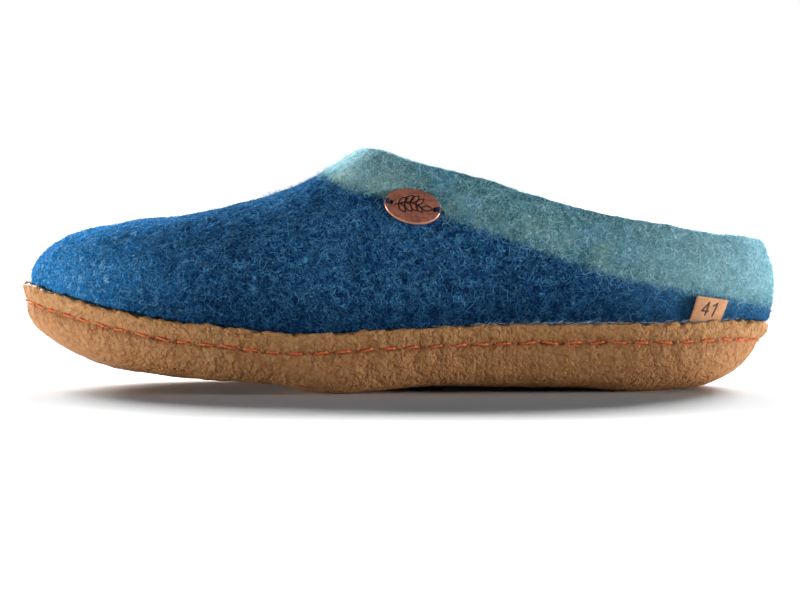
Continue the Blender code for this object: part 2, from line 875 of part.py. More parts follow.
def badge(upper_object, surface):
    """The oval copper plate, drilled for its two ties and seated on the felt."""
    half = BADGE_HOLE_SPACING / 2
    edges = [
        oval(BADGE_LENGTH, BADGE_WIDTH, 40),
        oval(BADGE_HOLE, BADGE_HOLE, 12, half),
        oval(BADGE_HOLE, BADGE_HOLE, 12, -half),
    ]
    inside = oval(BADGE_LENGTH * 0.62, BADGE_WIDTH * 0.62, 18)
    inside += oval(BADGE_LENGTH * 0.3, BADGE_WIDTH * 0.3, 10)
    inside.append((0.0, 0.0))
    mesh = plate("badge", edges, inside, BADGE_THICKNESS)
    tree = surface_of(upper_object)
    x = LENGTH / 2 - BADGE_FROM_BACK
    centre, across, up, outward = frame_on(tree, x, BADGE_HEIGHT)
    turned = across * math.cos(BADGE_TILT) - up * math.sin(BADGE_TILT)
    upright = up * math.cos(BADGE_TILT) + across * math.sin(BADGE_TILT)
    lay_on(mesh, tree, centre, turned, upright, outward, BADGE_SEAT)
    turn_outwards(mesh)
    return finished("badge", mesh, surface)


def size_tab(upper_object, surface):
    """The little leather tab that stands on the lip and leans on the felt at the heel."""
    across_steps, up_steps = 5, 4

    def place(a, b):
        return ((a - 0.5) * TAB_WIDTH + (b - 0.5) * TAB_SLANT, (b - 0.5) * TAB_HEIGHT)

    edge = [place(n / across_steps, 0.0) for n in range(across_steps)]
    edge += [place(1.0, n / up_steps) for n in range(up_steps)]
    edge += [place(1.0 - n / across_steps, 1.0) for n in range(across_steps)]
    edge += [place(0.0, 1.0 - n / up_steps) for n in range(up_steps)]
    inside = []
    for m in range(1, up_steps):
        inside += [place(n / across_steps, m / up_steps) for n in range(1, across_steps)]
    mesh = plate("size_tab", [edge], inside, TAB_THICKNESS)
    tree = surface_of(upper_object)
    x = LENGTH / 2 - TAB_FROM_BACK
    low = max(lip_height(x + TAB_WIDTH / 2), lip_height(x - TAB_WIDTH / 2))
    centre, across, up, outward = frame_on(tree, x, low + TAB_HEIGHT / 2)
    outward = Vector((outward.x, outward.y, 0.0)).normalized()
    across = outward.cross(Vector((0.0, 0.0, -1.0)))
    across = -across if across.x < 0 else across
    up = Vector((0.0, 0.0, 1.0))
    centre.z = low + TAB_HEIGHT / 2 + GAP

    def seat(u, v):
        forward = min(max(0.5 - u / TAB_WIDTH, 0.0), 1.0)
        raised = 0.5 + v / TAB_HEIGHT
        return GAP + TAB_LIFT * forward * raised

    lay_on(mesh, tree, centre, across, up, outward, seat)
    turn_outwards(mesh)
    return finished("size_tab", mesh, surface)


def centre_on_origin(objects):
    """Moves the slipper so that the origin is on the floor under the middle of its box."""
    points = np.array([tuple(v.co) for obj in objects for v in obj.data.vertices])
    low, high = points.min(axis=0), points.max(axis=0)
    shift = Vector((-(low[0] + high[0]) / 2, -(low[1] + high[1]) / 2, -low[2]))
    for obj in objects:
        obj.location = shift


def main():
    for obj in list(bpy.data.objects):
        bpy.data.objects.remove(obj)
    felt = material("wool_felt", (0.024, 0.098, 0.220), 0.95)
    crepe = material("crepe_rubber", (0.430, 0.235, 0.105), 0.70)
    footbed = material("insole_felt", (0.150, 0.330, 0.360), 0.95)
    copper = material("copper", (0.550, 0.215, 0.110), 0.35, 0.9)
    leather = material("tab_leather", (0.600, 0.330, 0.170), 0.65)
    body = upper(felt)
    pieces = [body, outsole(crepe), insole(footbed), badge(body, copper), size_tab(body, leather)]
    centre_on_origin(pieces)


main()
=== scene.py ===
"""The looks of a felt house slipper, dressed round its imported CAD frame.

Lengths are in metres, in the CAD's frame: the toe points to -X, the outer side of the foot
faces -Y, and the floor is z = 0. Every surface starts from the CAD node that it replaces, is
meshed more closely, and gets its lumps, grain, engraving and fibres in mesh code.
"""

import math

import bmesh
import bpy
import numpy as np
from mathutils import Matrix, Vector, noise
from mathutils.bvhtree import BVHTree
from mathutils.geometry import delaunay_2d_cdt


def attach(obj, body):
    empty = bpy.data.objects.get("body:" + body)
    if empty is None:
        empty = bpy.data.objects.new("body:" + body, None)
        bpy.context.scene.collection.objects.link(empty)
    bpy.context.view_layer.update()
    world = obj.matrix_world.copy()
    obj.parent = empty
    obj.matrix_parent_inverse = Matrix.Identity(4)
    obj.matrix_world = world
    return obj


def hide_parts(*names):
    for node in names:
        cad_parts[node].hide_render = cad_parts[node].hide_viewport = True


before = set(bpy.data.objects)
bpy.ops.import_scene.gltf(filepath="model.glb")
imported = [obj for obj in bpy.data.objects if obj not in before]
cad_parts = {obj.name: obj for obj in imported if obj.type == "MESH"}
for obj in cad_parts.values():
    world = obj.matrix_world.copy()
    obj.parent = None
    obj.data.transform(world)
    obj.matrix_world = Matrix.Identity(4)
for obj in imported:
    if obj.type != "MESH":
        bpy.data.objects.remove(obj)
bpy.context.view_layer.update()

MM = 0.001

# The seam round the sole
SEAM_DROP = 6.8 * MM
STITCH_PITCH = 8.5 * MM
STITCH_LENGTH = 6.9 * MM
THREAD = 0.88 * MM

# Where blue wool meets turquoise wool on the outer side: place along X and height, both in
# millimetres
TIDE_LINE = (
    (-34.0, 96.0),
    (-28.5, 80.0),
    (-18.8, 74.7),
    (-7.7, 72.0),
    (17.0, 64.7),
    (34.1, 58.8),
    (49.0, 53.3),
    (63.5, 48.3),
    (78.0, 43.2),
    (92.5, 39.2),
    (115.0, 35.3),
    (140.0, 30.4),
)

# The size tab's face, a leaning parallelogram
TAB_WIDTH = 13.2 * MM
TAB_HEIGHT = 9.8 * MM
TAB_SLANT = 2.2 * MM
TAB_FALL = 1.9 * MM
TAB_SHIFT = (-0.7 * MM, -0.15 * MM)

# The badge's oval and its two holes
BADGE_LENGTH = 20.8 * MM
BADGE_WIDTH = 14.8 * MM
HOLE = 1.6 * MM
HOLE_SPACING = 16.6 * MM
BADGE_SHIFT = (-0.45 * MM, 0.6 * MM)

# The badge's ties: the strands through each hole, and the loose ends beside one
TIE_SPACING = 0.48 * MM
TIE_RADIUS = 0.36 * MM
LOOSE_END_RADIUS = 0.32 * MM

# The felt's swell over the lip at the heel, and its rise along the back of the collar
HEEL_SWELL = 3.0 * MM
COLLAR_RISE = 1.0 * MM

# How many wool fibres lie on the felt, stand off it, and hang loose at the lip
LYING_FIBRES = 30000
FUZZ_FIBRES = 72000
LIP_FIBRES = 800

# The photograph's view: level with the outer side, from about a metre
EYE = (0.0015, -1.1, 0.078)
AIM = (0.0015, 0.0, 0.0326)
FOCAL_LENGTH = 132.0


def smooth(low, high, value):
    """0 below low and 1 above high, with a smooth step between."""
    t = np.clip((value - low) / (high - low), 0.0, 1.0)
    return t * t * (3 - 2 * t)


def lumps(points, size, seed, detail=1):
    """Smooth noise of about this size at each point, roughly from -1 to 1."""
    shift = Vector((seed * 3.7, seed * 1.3, seed * 7.1))
    found = np.zeros(len(points))
    for n, point in enumerate(points):
        at = Vector(point) / size + shift
        strength = 1.0
        for _ in range(detail):
            found[n] += noise.noise(at) * strength
            at = at * 2.1
            strength *= 0.5
    return found


# Meshes


def unit(vectors):
    """Each row of vectors at a length of 1."""
    return vectors / np.linalg.norm(vectors, axis=1, keepdims=True)


def merged(node):
    """A CAD node as a bmesh, with its corners merged and its triangles paired into quads."""
    bm = bmesh.new()
    bm.from_mesh(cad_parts[node].data)
    bmesh.ops.remove_doubles(bm, verts=bm.verts, dist=1e-6)
    bmesh.ops.join_triangles(
        bm,
        faces=bm.faces,
        angle_face_threshold=math.radians(60),
        angle_shape_threshold=math.radians(80),
    )
    return bm


def mesh_of(bm, name):
    mesh = bpy.data.meshes.new(name)
    bm.to_mesh(mesh)
    bm.free()
    return mesh


def subdivided(mesh, levels):
    """The mesh after this many rounds of smooth subdivision."""
    obj = bpy.data.objects.new("rounded", mesh)
    bpy.context.scene.collection.objects.link(obj)
    modifier = obj.modifiers.new("smooth", "SUBSURF")
    modifier.levels = levels
    modifier.render_levels = levels
    modifier.use_limit_surface = True
    graph = bpy.context.evaluated_depsgraph_get()
    made = bpy.data.meshes.new_from_object(obj.evaluated_get(graph))
    bpy.data.objects.remove(obj)
    bpy.data.meshes.remove(mesh)
    return made


def points_of(mesh):
    found = np.zeros(len(mesh.vertices) * 3, np.float32)
    mesh.vertices.foreach_get("co", found)
    return found.reshape(-1, 3).astype(float)


def normals_of(mesh):
    found = np.zeros(len(mesh.vertices) * 3, np.float32)
    mesh.vertex_normals.foreach_get("vector", found)
    return found.reshape(-1, 3).astype(float)


def place_points(mesh, points):
    mesh.vertices.foreach_set("co", points.astype(np.float32).ravel())
    mesh.update()


def note(mesh, name, values):
    """Stores one number for each vertex, which the materials read."""
    attribute = mesh.attributes.new(name, "FLOAT", "POINT")
    attribute.data.foreach_set("value", np.asarray(values, np.float32))


def tree_of(mesh):
    corners = [v.co for v in mesh.vertices]
    return BVHTree.FromPolygons(corners, [list(p.vertices) for p in mesh.polygons])


def piece(name, mesh, surface, replaced=()):
    """Puts a mesh in the scene as a piece of the slipper."""
    mesh.name = name
    mesh.materials.clear()
    mesh.materials.append(surface)
    mesh.shade_smooth()
    obj = bpy.data.objects.new(name, mesh)
    bpy.context.scene.collection.objects.link(obj)
    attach(obj, "root")
    for node in replaced:
        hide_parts(node)
    return obj


def mesh_from(points, faces):
    mesh = bpy.data.meshes.new("made")
    mesh.from_pydata(np.asarray(points).tolist(), [], faces)
    mesh.validate()
    return mesh


def tube(centres, radii, sides=6):
    """The points and faces of a closed tube along a line of centres."""
    centres = np.array(centres, float)
    count = len(centres)
    along = unit(np.gradient(centres, axis=0))
    across = np.cross(along[0], (0.3, 0.5, 0.81))
    points, faces = [], []
    for n in range(count):
        across = across - along[n] * (across @ along[n])
        across /= np.linalg.norm(across)
        other = np.cross(along[n], across)
        for k in range(sides):
            angle = 2 * math.pi * k / sides
            points.append(
                centres[n] + (across * math.cos(angle) + other * math.sin(angle)) * radii[n]
            )
    for n in range(count - 1):
        for k in range(sides):
            a, b = n * sides + k, n * sides + (k + 1) % sides
            faces.append((a, b, b + sides, a + sides))
    faces.append(tuple(range(sides - 1, -1, -1)))
    faces.append(tuple(range((count - 1) * sides, count * sides)))
    return points, faces


class Heap:
    """Gathers the points and faces of many small forms into one mesh."""

    def __init__(self):
        self.points = []
        self.faces = []

    def add(self, points, faces):
        first = len(self.points)
        self.points += [tuple(p) for p in points]
        self.faces += [tuple(first + v for v in face) for face in faces]

    def mesh(self):
        return mesh_from(self.points, self.faces)


# Materials


class Surface:
    """Builds one procedural material round a Principled shader."""

    def __init__(self, name, **sockets):
        self.material = bpy.data.materials.new(name)
        self.material.use_nodes = True
        self.tree = self.material.node_tree
        self.shader = self.tree.nodes["Principled BSDF"]
        for socket, value in sockets.items():
            self.shader.inputs[socket.replace("_", " ")].default_value = value
        self.place = self.add("ShaderNodeTexCoord").outputs["Object"]

    def add(self, kind, **settings):
        node = self.tree.nodes.new(kind)
        for name, value in settings.items():
            setattr(node, name, value)
        return node

    def put(self, node, socket, value):
        target = node.inputs[socket]
        if isinstance(value, bpy.types.NodeSocket):
            self.tree.links.new(value, target)
        elif isinstance(value, tuple) and len(value) == 3 and target.type == "RGBA":
            target.default_value = (*value, 1.0)
        else:
            target.default_value = value

    def read(self, attribute):
        return self.add("ShaderNodeAttribute", attribute_name=attribute).outputs["Fac"]

    def noise(self, size, detail=2.0, rough=0.5, warp=0.0, at=None):
        node = self.add("ShaderNodeTexNoise")
        self.put(node, "Vector", at or self.place)
        self.put(node, "Scale", 1.0 / size)
        self.put(node, "Detail", detail)
        self.put(node, "Roughness", rough)
        self.put(node, "Distortion", warp)
        return node.outputs["Fac"]

    def cells(self, size, at=None):
        node = self.add("ShaderNodeTexVoronoi")
        self.put(node, "Vector", at or self.place)
        self.put(node, "Scale", 1.0 / size)
        return node.outputs["Distance"]

    def wandering(self, reach, size):
        """The place, shifted about by coloured noise."""
        noise_node = self.add("ShaderNodeTexNoise")
        self.put(noise_node, "Vector", self.place)
        self.put(noise_node, "Scale", 1.0 / size)
        shift = self.add("ShaderNodeVectorMath", operation="MULTIPLY_ADD")
        self.put(shift, 0, noise_node.outputs["Color"])
        self.put(shift, 1, (reach, reach, reach))
        self.put(shift, 2, self.place)
        return shift.outputs[0]

    def shifted(self, amount):
        node = self.add("ShaderNodeVectorMath", operation="ADD")
        self.put(node, 0, self.place)
        self.put(node, 1, (amount, amount * 0.7, -amount * 1.3))
        return node.outputs[0]

    def math(self, operation, *values):
        node = self.add("ShaderNodeMath", operation=operation)
        for n, value in enumerate(values):
            self.put(node, n, value)
        return node.outputs[0]

    def step(self, value, low, high, start=0.0, end=1.0):
        node = self.add("ShaderNodeMapRange", interpolation_type="SMOOTHSTEP")
        for socket, number in (
            ("Value", value),
            ("From Min", low),
            ("From Max", high),
            ("To Min", start),
            ("To Max", end),
        ):
            self.put(node, socket, number)
        return node.outputs["Result"]

    def mix(self, share, first, second, kind="MIX"):
        node = self.add("ShaderNodeMix", data_type="RGBA", blend_type=kind)
        self.put(node, "Factor", share)
        for n, value in ((6, first), (7, second)):
            self.put(node, n, value)
        return node.outputs[2]

    def tint(self, colour, tone, share, most):
        """The colour drawn towards a tone, by a share of the most."""
        return self.mix(self.math("MULTIPLY", share, most), colour, tone)

    def curls(self, size, width, warp, at=None):
        """Thin curling lines, like single fibres that lie on the surface."""
        field = self.noise(size, 0.0, 0.5, warp, at)
        off = self.math("ABSOLUTE", self.math("SUBTRACT", field, 0.5))
        return self.step(off, 0.0, width, 1.0, 0.0)

    def bump(self, height, distance, strength=1.0):
        node = self.add("ShaderNodeBump")
        self.put(node, "Height", height)
        self.put(node, "Distance", distance)
        self.put(node, "Strength", strength)
        return node.outputs[0]

    def finish(self, colour, normal=None, roughness=None):
        self.put(self.shader, "Base Color", colour)
        if normal:
            self.put(self.shader, "Normal", normal)
        if roughness:
            self.put(self.shader, "Roughness", roughness)
        return self.material


# The dark, middle and light tone of each wool, and the tones that cloud the turquoise
BLUE = ((0.0005, 0.006, 0.029), (0.0018, 0.051, 0.196), (0.145, 0.472, 0.830))
TURQUOISE = ((0.030, 0.125, 0.152), (0.100, 0.325, 0.400), (0.500, 0.820, 0.910))
SKY_WOOL = (0.120, 0.380, 0.600)
STRAW_WOOL = (0.260, 0.420, 0.330)

# How many times brighter the wool is at the tip of the toe, in red, green and blue: paler wool there,
# brightened further by painted light
TOE_PAINTED_LIGHT = (12.5, 6.8, 4.6)

PALE_WOOL = (BLUE[0], (0.080, 0.170, 0.290), (0.520, 0.620, 0.700))

INSOLE_DARK = (0.070, 0.170, 0.185)
INSOLE_PALE = (0.120, 0.255, 0.275)
INSOLE_FIBRE = (0.300, 0.470, 0.490)

# The dark and light tone of each thread
ORANGE_THREAD = ((0.560, 0.088, 0.020), (0.920, 0.225, 0.068))
NAVY_THREAD = ((0.003, 0.006, 0.016), (0.010, 0.026, 0.070))

CREPE_LIP = (0.452, 0.244, 0.098)
CREPE_SIDE = (0.430, 0.217, 0.087)
CREPE_CLOUD = (0.378, 0.170, 0.064)
# The pit tone darkens the grain's low spots and paints shade into the valleys between the pebbles;
# the wrinkle, fold and seam tones are painted shade, and the crumb tone a painted highlight
CREPE_PIT_AND_VALLEY_SHADE = (0.215, 0.060, 0.018)
CREPE_WRINKLE_SHADE = (0.240, 0.056, 0.016)
CREPE_CRUMB_HIGHLIGHT = (0.660, 0.400, 0.180)
CREPE_SPECK = (0.900, 0.700, 0.440)
CREPE_FOLD_SHADE = (0.230, 0.065, 0.022)
CREPE_SEAM_SHADE = (0.200, 0.055, 0.022)

COPPER_BRIGHT = (0.680, 0.262, 0.175)
COPPER_STAINED = (0.360, 0.118, 0.078)
COPPER_RUBBED_RIM_AND_HIGHLIGHT = (0.800, 0.400, 0.270)
COPPER_SCRATCH = (0.66, 0.33, 0.21)
COPPER_GROOVE_AND_HOLE_SHADE = (0.020, 0.010, 0.008)

LEATHER_PALE = (0.560, 0.295, 0.142)
LEATHER_DARK = (0.480, 0.225, 0.100)
LEATHER_SPECKLE = (0.760, 0.500, 0.300)
LEATHER_DOT = (0.200, 0.075, 0.035)
LEATHER_RIM = (0.330, 0.150, 0.070)
LEATHER_BURNT = (0.070, 0.026, 0.014)


def wool_tones(surface):
    """The dark, middle and light tone of the wool at a point, blue below the tide line."""
    wander = surface.math("SUBTRACT", surface.noise(4.0 * MM, 3.0, 0.6, 0.6), 0.5)
    height = surface.math("MULTIPLY_ADD", wander, 5.0 * MM, surface.read("tide"))
    share = surface.step(height, -1.6 * MM, 1.4 * MM)
    return [surface.mix(share, low, high) for low, high in zip(BLUE, TURQUOISE)]


def wool(name):
    """Wet-felted wool: clouded tones under a mat of curling fibres."""
    s = Surface(name, Roughness=1.0, Specular_IOR_Level=0.0)
    dark, middle, light = wool_tones(s)
    tide, toe = s.read("tide"), s.read("toe")
    clouds = s.noise(9.0 * MM, 3.0, 0.6, 0.4)
    gaps = s.noise(1.3 * MM, 3.0, 0.7, 1.0, s.shifted(3.1))
    open_tone = s.math("MULTIPLY_ADD", s.step(clouds, 0.30, 0.70), 0.35, 0.65)
    filled = s.math("MULTIPLY", s.step(gaps, 0.42, 0.60), open_tone)
    # The toe share fills in the dark gaps here, fades the tufts and fibres and multiplies the wool
    # brighter: painted light at the toe and over the instep, on wool that is paler at the toe
    colour = s.mix(s.math("MAXIMUM", filled, s.math("MULTIPLY", toe, 0.40)), dark, middle)

    # Clouds of other wool in the turquoise band, and paler tufts
    patches = s.step(s.noise(16.0 * MM, 2.0, 0.5, 0.6, s.shifted(5.3)), 0.48, 0.62)
    colour = s.tint(colour, SKY_WOOL, patches, s.step(tide, 0.0, 8.0 * MM, 0.0, 0.45))
    border = s.math("MULTIPLY", s.step(tide, 0.0, 3.0 * MM), s.step(tide, 16.0 * MM, 6.0 * MM))
    straw = s.step(s.noise(13.0 * MM, 2.0, 0.5, 0.6, s.shifted(7.7)), 0.44, 0.60)
    colour = s.tint(colour, STRAW_WOOL, s.math("MULTIPLY", border, straw), 0.45)
    tufts = s.noise(2.2 * MM, 3.0, 0.65, 1.2, s.shifted(0.4))
    tufted = s.math("MULTIPLY_ADD", toe, -0.18, 0.40)
    colour = s.tint(colour, light, s.step(tufts, 0.50, 0.78), tufted)
    # Painted light at the toe, on wool that is paler there
    colour = s.mix(toe, colour, TOE_PAINTED_LIGHT, "MULTIPLY")

    # Single fibres in three sizes
    fine = s.curls(1.5 * MM, 0.060, 1.8)
    long = s.curls(3.0 * MM, 0.055, 2.6, s.shifted(0.9))
    stray = s.curls(5.0 * MM, 0.035, 3.4, s.shifted(1.7))
    mat = s.math("MAXIMUM", s.math("MULTIPLY", fine, 0.45), s.math("MAXIMUM", long, stray))
    patchy = s.step(s.noise(3.4 * MM, 2.0, 0.5, 0.3, s.shifted(2.3)), 0.36, 0.62)
    strands = s.math("MULTIPLY", mat, s.math("MULTIPLY_ADD", patchy, 0.70, 0.15))
    colour = s.tint(colour, light, strands, s.math("MULTIPLY_ADD", toe, -0.35, 1.0))
    # Painted light on the back of the heel and the front of the throat, from the pale attribute
    colour = s.tint(colour, light, s.read("pale"), 0.35)
    # Painted shade low on the wool, by the sole
    colour = s.tint(colour, dark, s.read("low_shade"), 0.50)
    nap = s.math("MULTIPLY_ADD", gaps, 1.1, s.math("MULTIPLY", mat, 0.45))
    return s.finish(colour, s.bump(nap, 0.9 * MM))


def fibre(name, tones):
    """Single wool fibres, each with its own shade."""
    s = Surface(name, Roughness=1.0, Specular_IOR_Level=0.0)
    _, middle, light = tones
    colour = s.mix(s.read("shade"), middle, light)
    along = s.noise(0.9 * MM, 1.0)
    return s.finish(s.mix(s.step(along, 0.45, 0.75, 0.0, 0.3), colour, middle))


def crepe():
    """Crepe rubber: granular, wrinkled and pitted, paler on the lip above the seam, with painted
    shade in its valleys, wrinkles, folds and seam groove and painted highlights on its pebbles' tops.
    """
    s = Surface(
        "crepe_rubber",
        Roughness=0.72,
        Specular_IOR_Level=0.14,
        Subsurface_Weight=0.06,
        Subsurface_Scale=0.003,
        Subsurface_Radius=(1.0, 0.5, 0.25),
    )
    below = s.read("below")
    band = s.step(s.math("MULTIPLY_ADD", s.noise(3.0 * MM), 1.6 * MM, below), 6.6 * MM, 8.2 * MM)
    tan = s.mix(band, CREPE_LIP, CREPE_SIDE)
    tan = s.tint(tan, CREPE_CLOUD, s.step(s.noise(11.0 * MM, 3.0, 0.6, 0.5), 0.3, 0.7), 0.40)
    grain = s.noise(1.5 * MM, 2.0, 0.50, 0.5)
    pebbles = s.cells(2.1 * MM, s.wandering(1.4 * MM, 1.8 * MM))
    valleys = s.step(pebbles, 0.45, 0.80)
    # Darker in the grain's low spots, and painted shade in the valleys between the pebbles
    pits_and_valley_shade = s.math("MAXIMUM", s.step(grain, 0.44, 0.32), s.math("MULTIPLY", valleys, 0.7))
    tan = s.tint(tan, CREPE_PIT_AND_VALLEY_SHADE, pits_and_valley_shade, 0.44)
    # Painted shade in the wrinkles, which the bump below also presses in
    some = s.step(s.noise(4.0 * MM, 2.0, 0.5, 0.3, s.shifted(6.1)), 0.50, 0.62)
    wrinkles = s.math("MULTIPLY", s.curls(2.3 * MM, 0.06, 1.4, s.shifted(4.4)), some)
    tan = s.tint(tan, CREPE_WRINKLE_SHADE, wrinkles, 0.45)
    # Painted highlights on the pebbles' tops
    crumb_highlights = s.math("MULTIPLY", s.step(grain, 0.55, 0.70), s.step(pebbles, 0.55, 0.15))
    tan = s.tint(tan, CREPE_CRUMB_HIGHLIGHT, crumb_highlights, 0.35)
    specks = s.step(s.noise(0.8 * MM, 2.0, 0.6, 0.2, s.shifted(2.2)), 0.66, 0.76)
    tan = s.tint(tan, CREPE_SPECK, specks, 0.22)
    # Painted shade in the puckers' folds
    tan = s.tint(tan, CREPE_FOLD_SHADE, s.read("fold_shade"), 0.55)
    # Painted shade along the seam's groove
    off_seam = s.math("ABSOLUTE", s.math("SUBTRACT", below, SEAM_DROP))
    seam_shade = s.step(off_seam, 1.1 * MM, 0.2 * MM, 0.0, 0.75)
    tan = s.tint(tan, CREPE_SEAM_SHADE, seam_shade, s.step(grain, 0.62, 0.42))
    height = s.math("MULTIPLY_ADD", valleys, -0.28, s.math("MULTIPLY", grain, 1.1))
    height = s.math("MULTIPLY_ADD", wrinkles, -0.25, height)
    height = s.math("MULTIPLY_ADD", s.noise(0.9 * MM, 2.0, 0.6, 0.3), 0.16, height)
    rough = s.step(grain, 0.3, 0.7, 0.74, 0.50)
    return s.finish(tan, s.bump(height, 0.62 * MM), rough)


def thread(name, dark, light, size=0.35 * MM):
    """Twisted sewing thread."""
    s = Surface(name, Roughness=0.6, Specular_IOR_Level=0.25)
    fluff = s.noise(size, 2.0, 0.6, 0.6)
    colour = s.mix(s.step(fluff, 0.3, 0.7), dark, light)
    return s.finish(colour, s.bump(fluff, 0.12 * MM, 0.7))


def copper():
    """Aged copper: polished on its high parts, its rim rubbed bright and given a painted highlight,
    dark where it is engraved, and with painted shade round its holes.
    """
    s = Surface("badge_copper", Metallic=0.55, Specular_IOR_Level=0.5)
    stains = s.step(s.noise(3.0 * MM, 4.0, 0.65, 0.8), 0.35, 0.70)
    colour = s.mix(stains, COPPER_BRIGHT, COPPER_STAINED)
    # The rim is lighter: rubbed bright, and a painted highlight
    colour = s.tint(colour, COPPER_RUBBED_RIM_AND_HIGHLIGHT, s.read("rim"), 0.6)
    colour = s.tint(colour, COPPER_SCRATCH, s.curls(2.4 * MM, 0.012, 0.4, s.shifted(0.8)), 0.3)
    # Dark in the engraving, and round the holes, where the dark is painted shade
    mark = s.read("mark")
    colour = s.mix(mark, colour, COPPER_GROOVE_AND_HOLE_SHADE)
    rough = s.math("MULTIPLY_ADD", stains, 0.16, 0.30)
    rough = s.math("MULTIPLY_ADD", mark, 0.35, rough)
    dents = s.noise(1.6 * MM, 3.0, 0.6, 0.3)
    return s.finish(colour, s.bump(dents, 0.12 * MM, 0.6), rough)


def leather():
    """Vegetable-tanned leather, speckled, with burnt-in digits."""
    s = Surface("tab_leather", Roughness=0.62, Specular_IOR_Level=0.35)
    cloud = s.noise(3.0 * MM, 3.0, 0.6, 0.3)
    colour = s.mix(s.step(cloud, 0.3, 0.7), LEATHER_PALE, LEATHER_DARK)
    speckle = s.step(s.noise(0.55 * MM, 3.0, 0.7, 0.2, s.shifted(0.5)), 0.56, 0.68)
    colour = s.tint(colour, LEATHER_SPECKLE, speckle, 0.75)
    dots = s.step(s.noise(0.7 * MM, 2.0, 0.6, 0.0, s.shifted(1.5)), 0.36, 0.28)
    colour = s.tint(colour, LEATHER_DOT, dots, 0.85)
    colour = s.tint(colour, LEATHER_RIM, s.read("rim"), 0.5)
    colour = s.mix(s.read("mark"), colour, LEATHER_BURNT)
    return s.finish(colour, s.bump(s.cells(0.5 * MM), 0.10 * MM, 0.6))


def footbed_wool():
    """The insole's felt: pale turquoise, pressed flatter than the upper."""
    s = Surface("footbed_wool", Roughness=0.93, Sheen_Weight=0.25, Specular_IOR_Level=0.15)
    clouds = s.noise(8.0 * MM, 3.0, 0.6, 0.4)
    colour = s.mix(s.step(clouds, 0.3, 0.7), INSOLE_DARK, INSOLE_PALE)
    fine = s.curls(1.7 * MM, 0.07, 1.8)
    long = s.curls(3.6 * MM, 0.03, 2.6, s.shifted(0.9))
    mat = s.math("MAXIMUM", s.math("MULTIPLY", fine, 0.6), long)
    colour = s.tint(colour, INSOLE_FIBRE, mat, 0.5)
    nap = s.math("MULTIPLY_ADD", mat, 0.5, s.noise(2.0 * MM, 3.0, 0.6, 1.0))
    return s.finish(colour, s.bump(nap, 0.4 * MM, 0.8))


# The outsole's wall

# Rays are cast in at this many angles round the foot, from this far out, and down from the top
# in these steps, to find the lip. What they meet nearer to the middle than the core isn't the wall.
ANGLES = 1440
CAST_FROM = 0.3
LIP_STEP = 0.1 * MM
CORE = 30.0 * MM
LIP_TOP = 45.0 * MM
LIP_LOW = 18.0 * MM

sole_tree = tree_of(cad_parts["outsole"].data)


def cast_in(angle, height):
    """The point where the outsole is first met from outside, at an angle and a height."""
    out = Vector((math.cos(angle), math.sin(angle), 0.0))
    start = out * CAST_FROM + Vector((0.0, 0.0, height))
    return sole_tree.ray_cast(start, -out)[0]


def find_lip():
    """The height of the outsole's lip and its place in plan, for each angle round the foot."""
    heights, places = [], []
    height = LIP_TOP
    for n in range(ANGLES):
        angle = 2 * math.pi * n / ANGLES
        height = min(height + 2.0 * MM, LIP_TOP)
        hit = None
        while height > LIP_LOW:
            hit = cast_in(angle, height)
            if hit and math.hypot(hit.x, hit.y) > CORE and on_outer_wall(hit, angle):
                break
            height -= LIP_STEP
        heights.append(height)
        places.append(hit)
    return np.array(heights), places


def on_outer_wall(hit, angle):
    """Whether a hit is on the outer wall, and not on the far side's inner wall."""
    return hit.x * math.cos(angle) + hit.y * math.sin(angle) > 0


lip_heights, lip_places = find_lip()


def angle_index(points):
    """The place of each point among the angles, as a whole number and a share."""
    turn = np.arctan2(points[:, 1], points[:, 0]) % (2 * math.pi) / (2 * math.pi) * ANGLES
    low = np.floor(turn).astype(int) % ANGLES
    return low, turn - np.floor(turn)


def lip_over(points):
    """The height of the lip at the angle of each point."""
    low, share = angle_index(points)
    return lip_heights[low] * (1 - share) + lip_heights[(low + 1) % ANGLES] * share


def wall_line(drop):
    """A closed line on the outer wall, this far below the lip."""
    found = []
    for n in range(ANGLES):
        hit = cast_in(2 * math.pi * n / ANGLES, lip_heights[n] - drop)
        found.append(tuple(hit))
    return np.array(found)


seam = wall_line(SEAM_DROP)
seam_steps = np.linalg.norm(np.roll(seam, -1, axis=0) - seam, axis=1)
seam_along = np.concatenate([[0.0], np.cumsum(seam_steps)])
SEAM_LENGTH = seam_along[-1]
seam_closed = np.concatenate([seam, seam[:1]])


def seam_at(distance):
    """A point on the seam line at a distance round it."""
    d = distance % SEAM_LENGTH
    return np.array([np.interp(d, seam_along, seam_closed[:, k]) for k in range(3)])


def seam_out(distance):
    """The direction out of the wall at a distance round the seam."""
    ahead = seam_at(distance + 2 * MM) - seam_at(distance - 2 * MM)
    out = np.array([ahead[1], -ahead[0], 0.0])
    out /= np.linalg.norm(out)
    return out if out @ seam_at(distance) > 0 else -out


def plan_stitches():
    """Where each stitch starts and ends, as distances round the seam."""
    draw = np.random.default_rng(11)
    count = round(SEAM_LENGTH / STITCH_PITCH)
    pitch = SEAM_LENGTH / count
    found = []
    for n in range(count):
        middle = (n + 0.5) * pitch + draw.uniform(-0.5, 0.5) * MM
        half = STITCH_LENGTH / 2 * draw.uniform(0.88, 1.12)
        found.append((middle - half, middle + half, draw.uniform(-0.55, 0.55) * MM))
    return found


STITCHES = plan_stitches()

# The outsole


def refined(mesh, keep):
    """Halves each edge with two ends that pass the test, and fills the faces between them."""
    bm = bmesh.new()
    bm.from_mesh(mesh)
    bm.verts.ensure_lookup_table()
    edges = [e for e in bm.edges if all(keep[v.index] for v in e.verts)]
    bmesh.ops.subdivide_edges(bm, edges=edges, cuts=1, use_grid_fill=True, smooth=0.0)
    bm.to_mesh(mesh)
    bm.free()
    return mesh


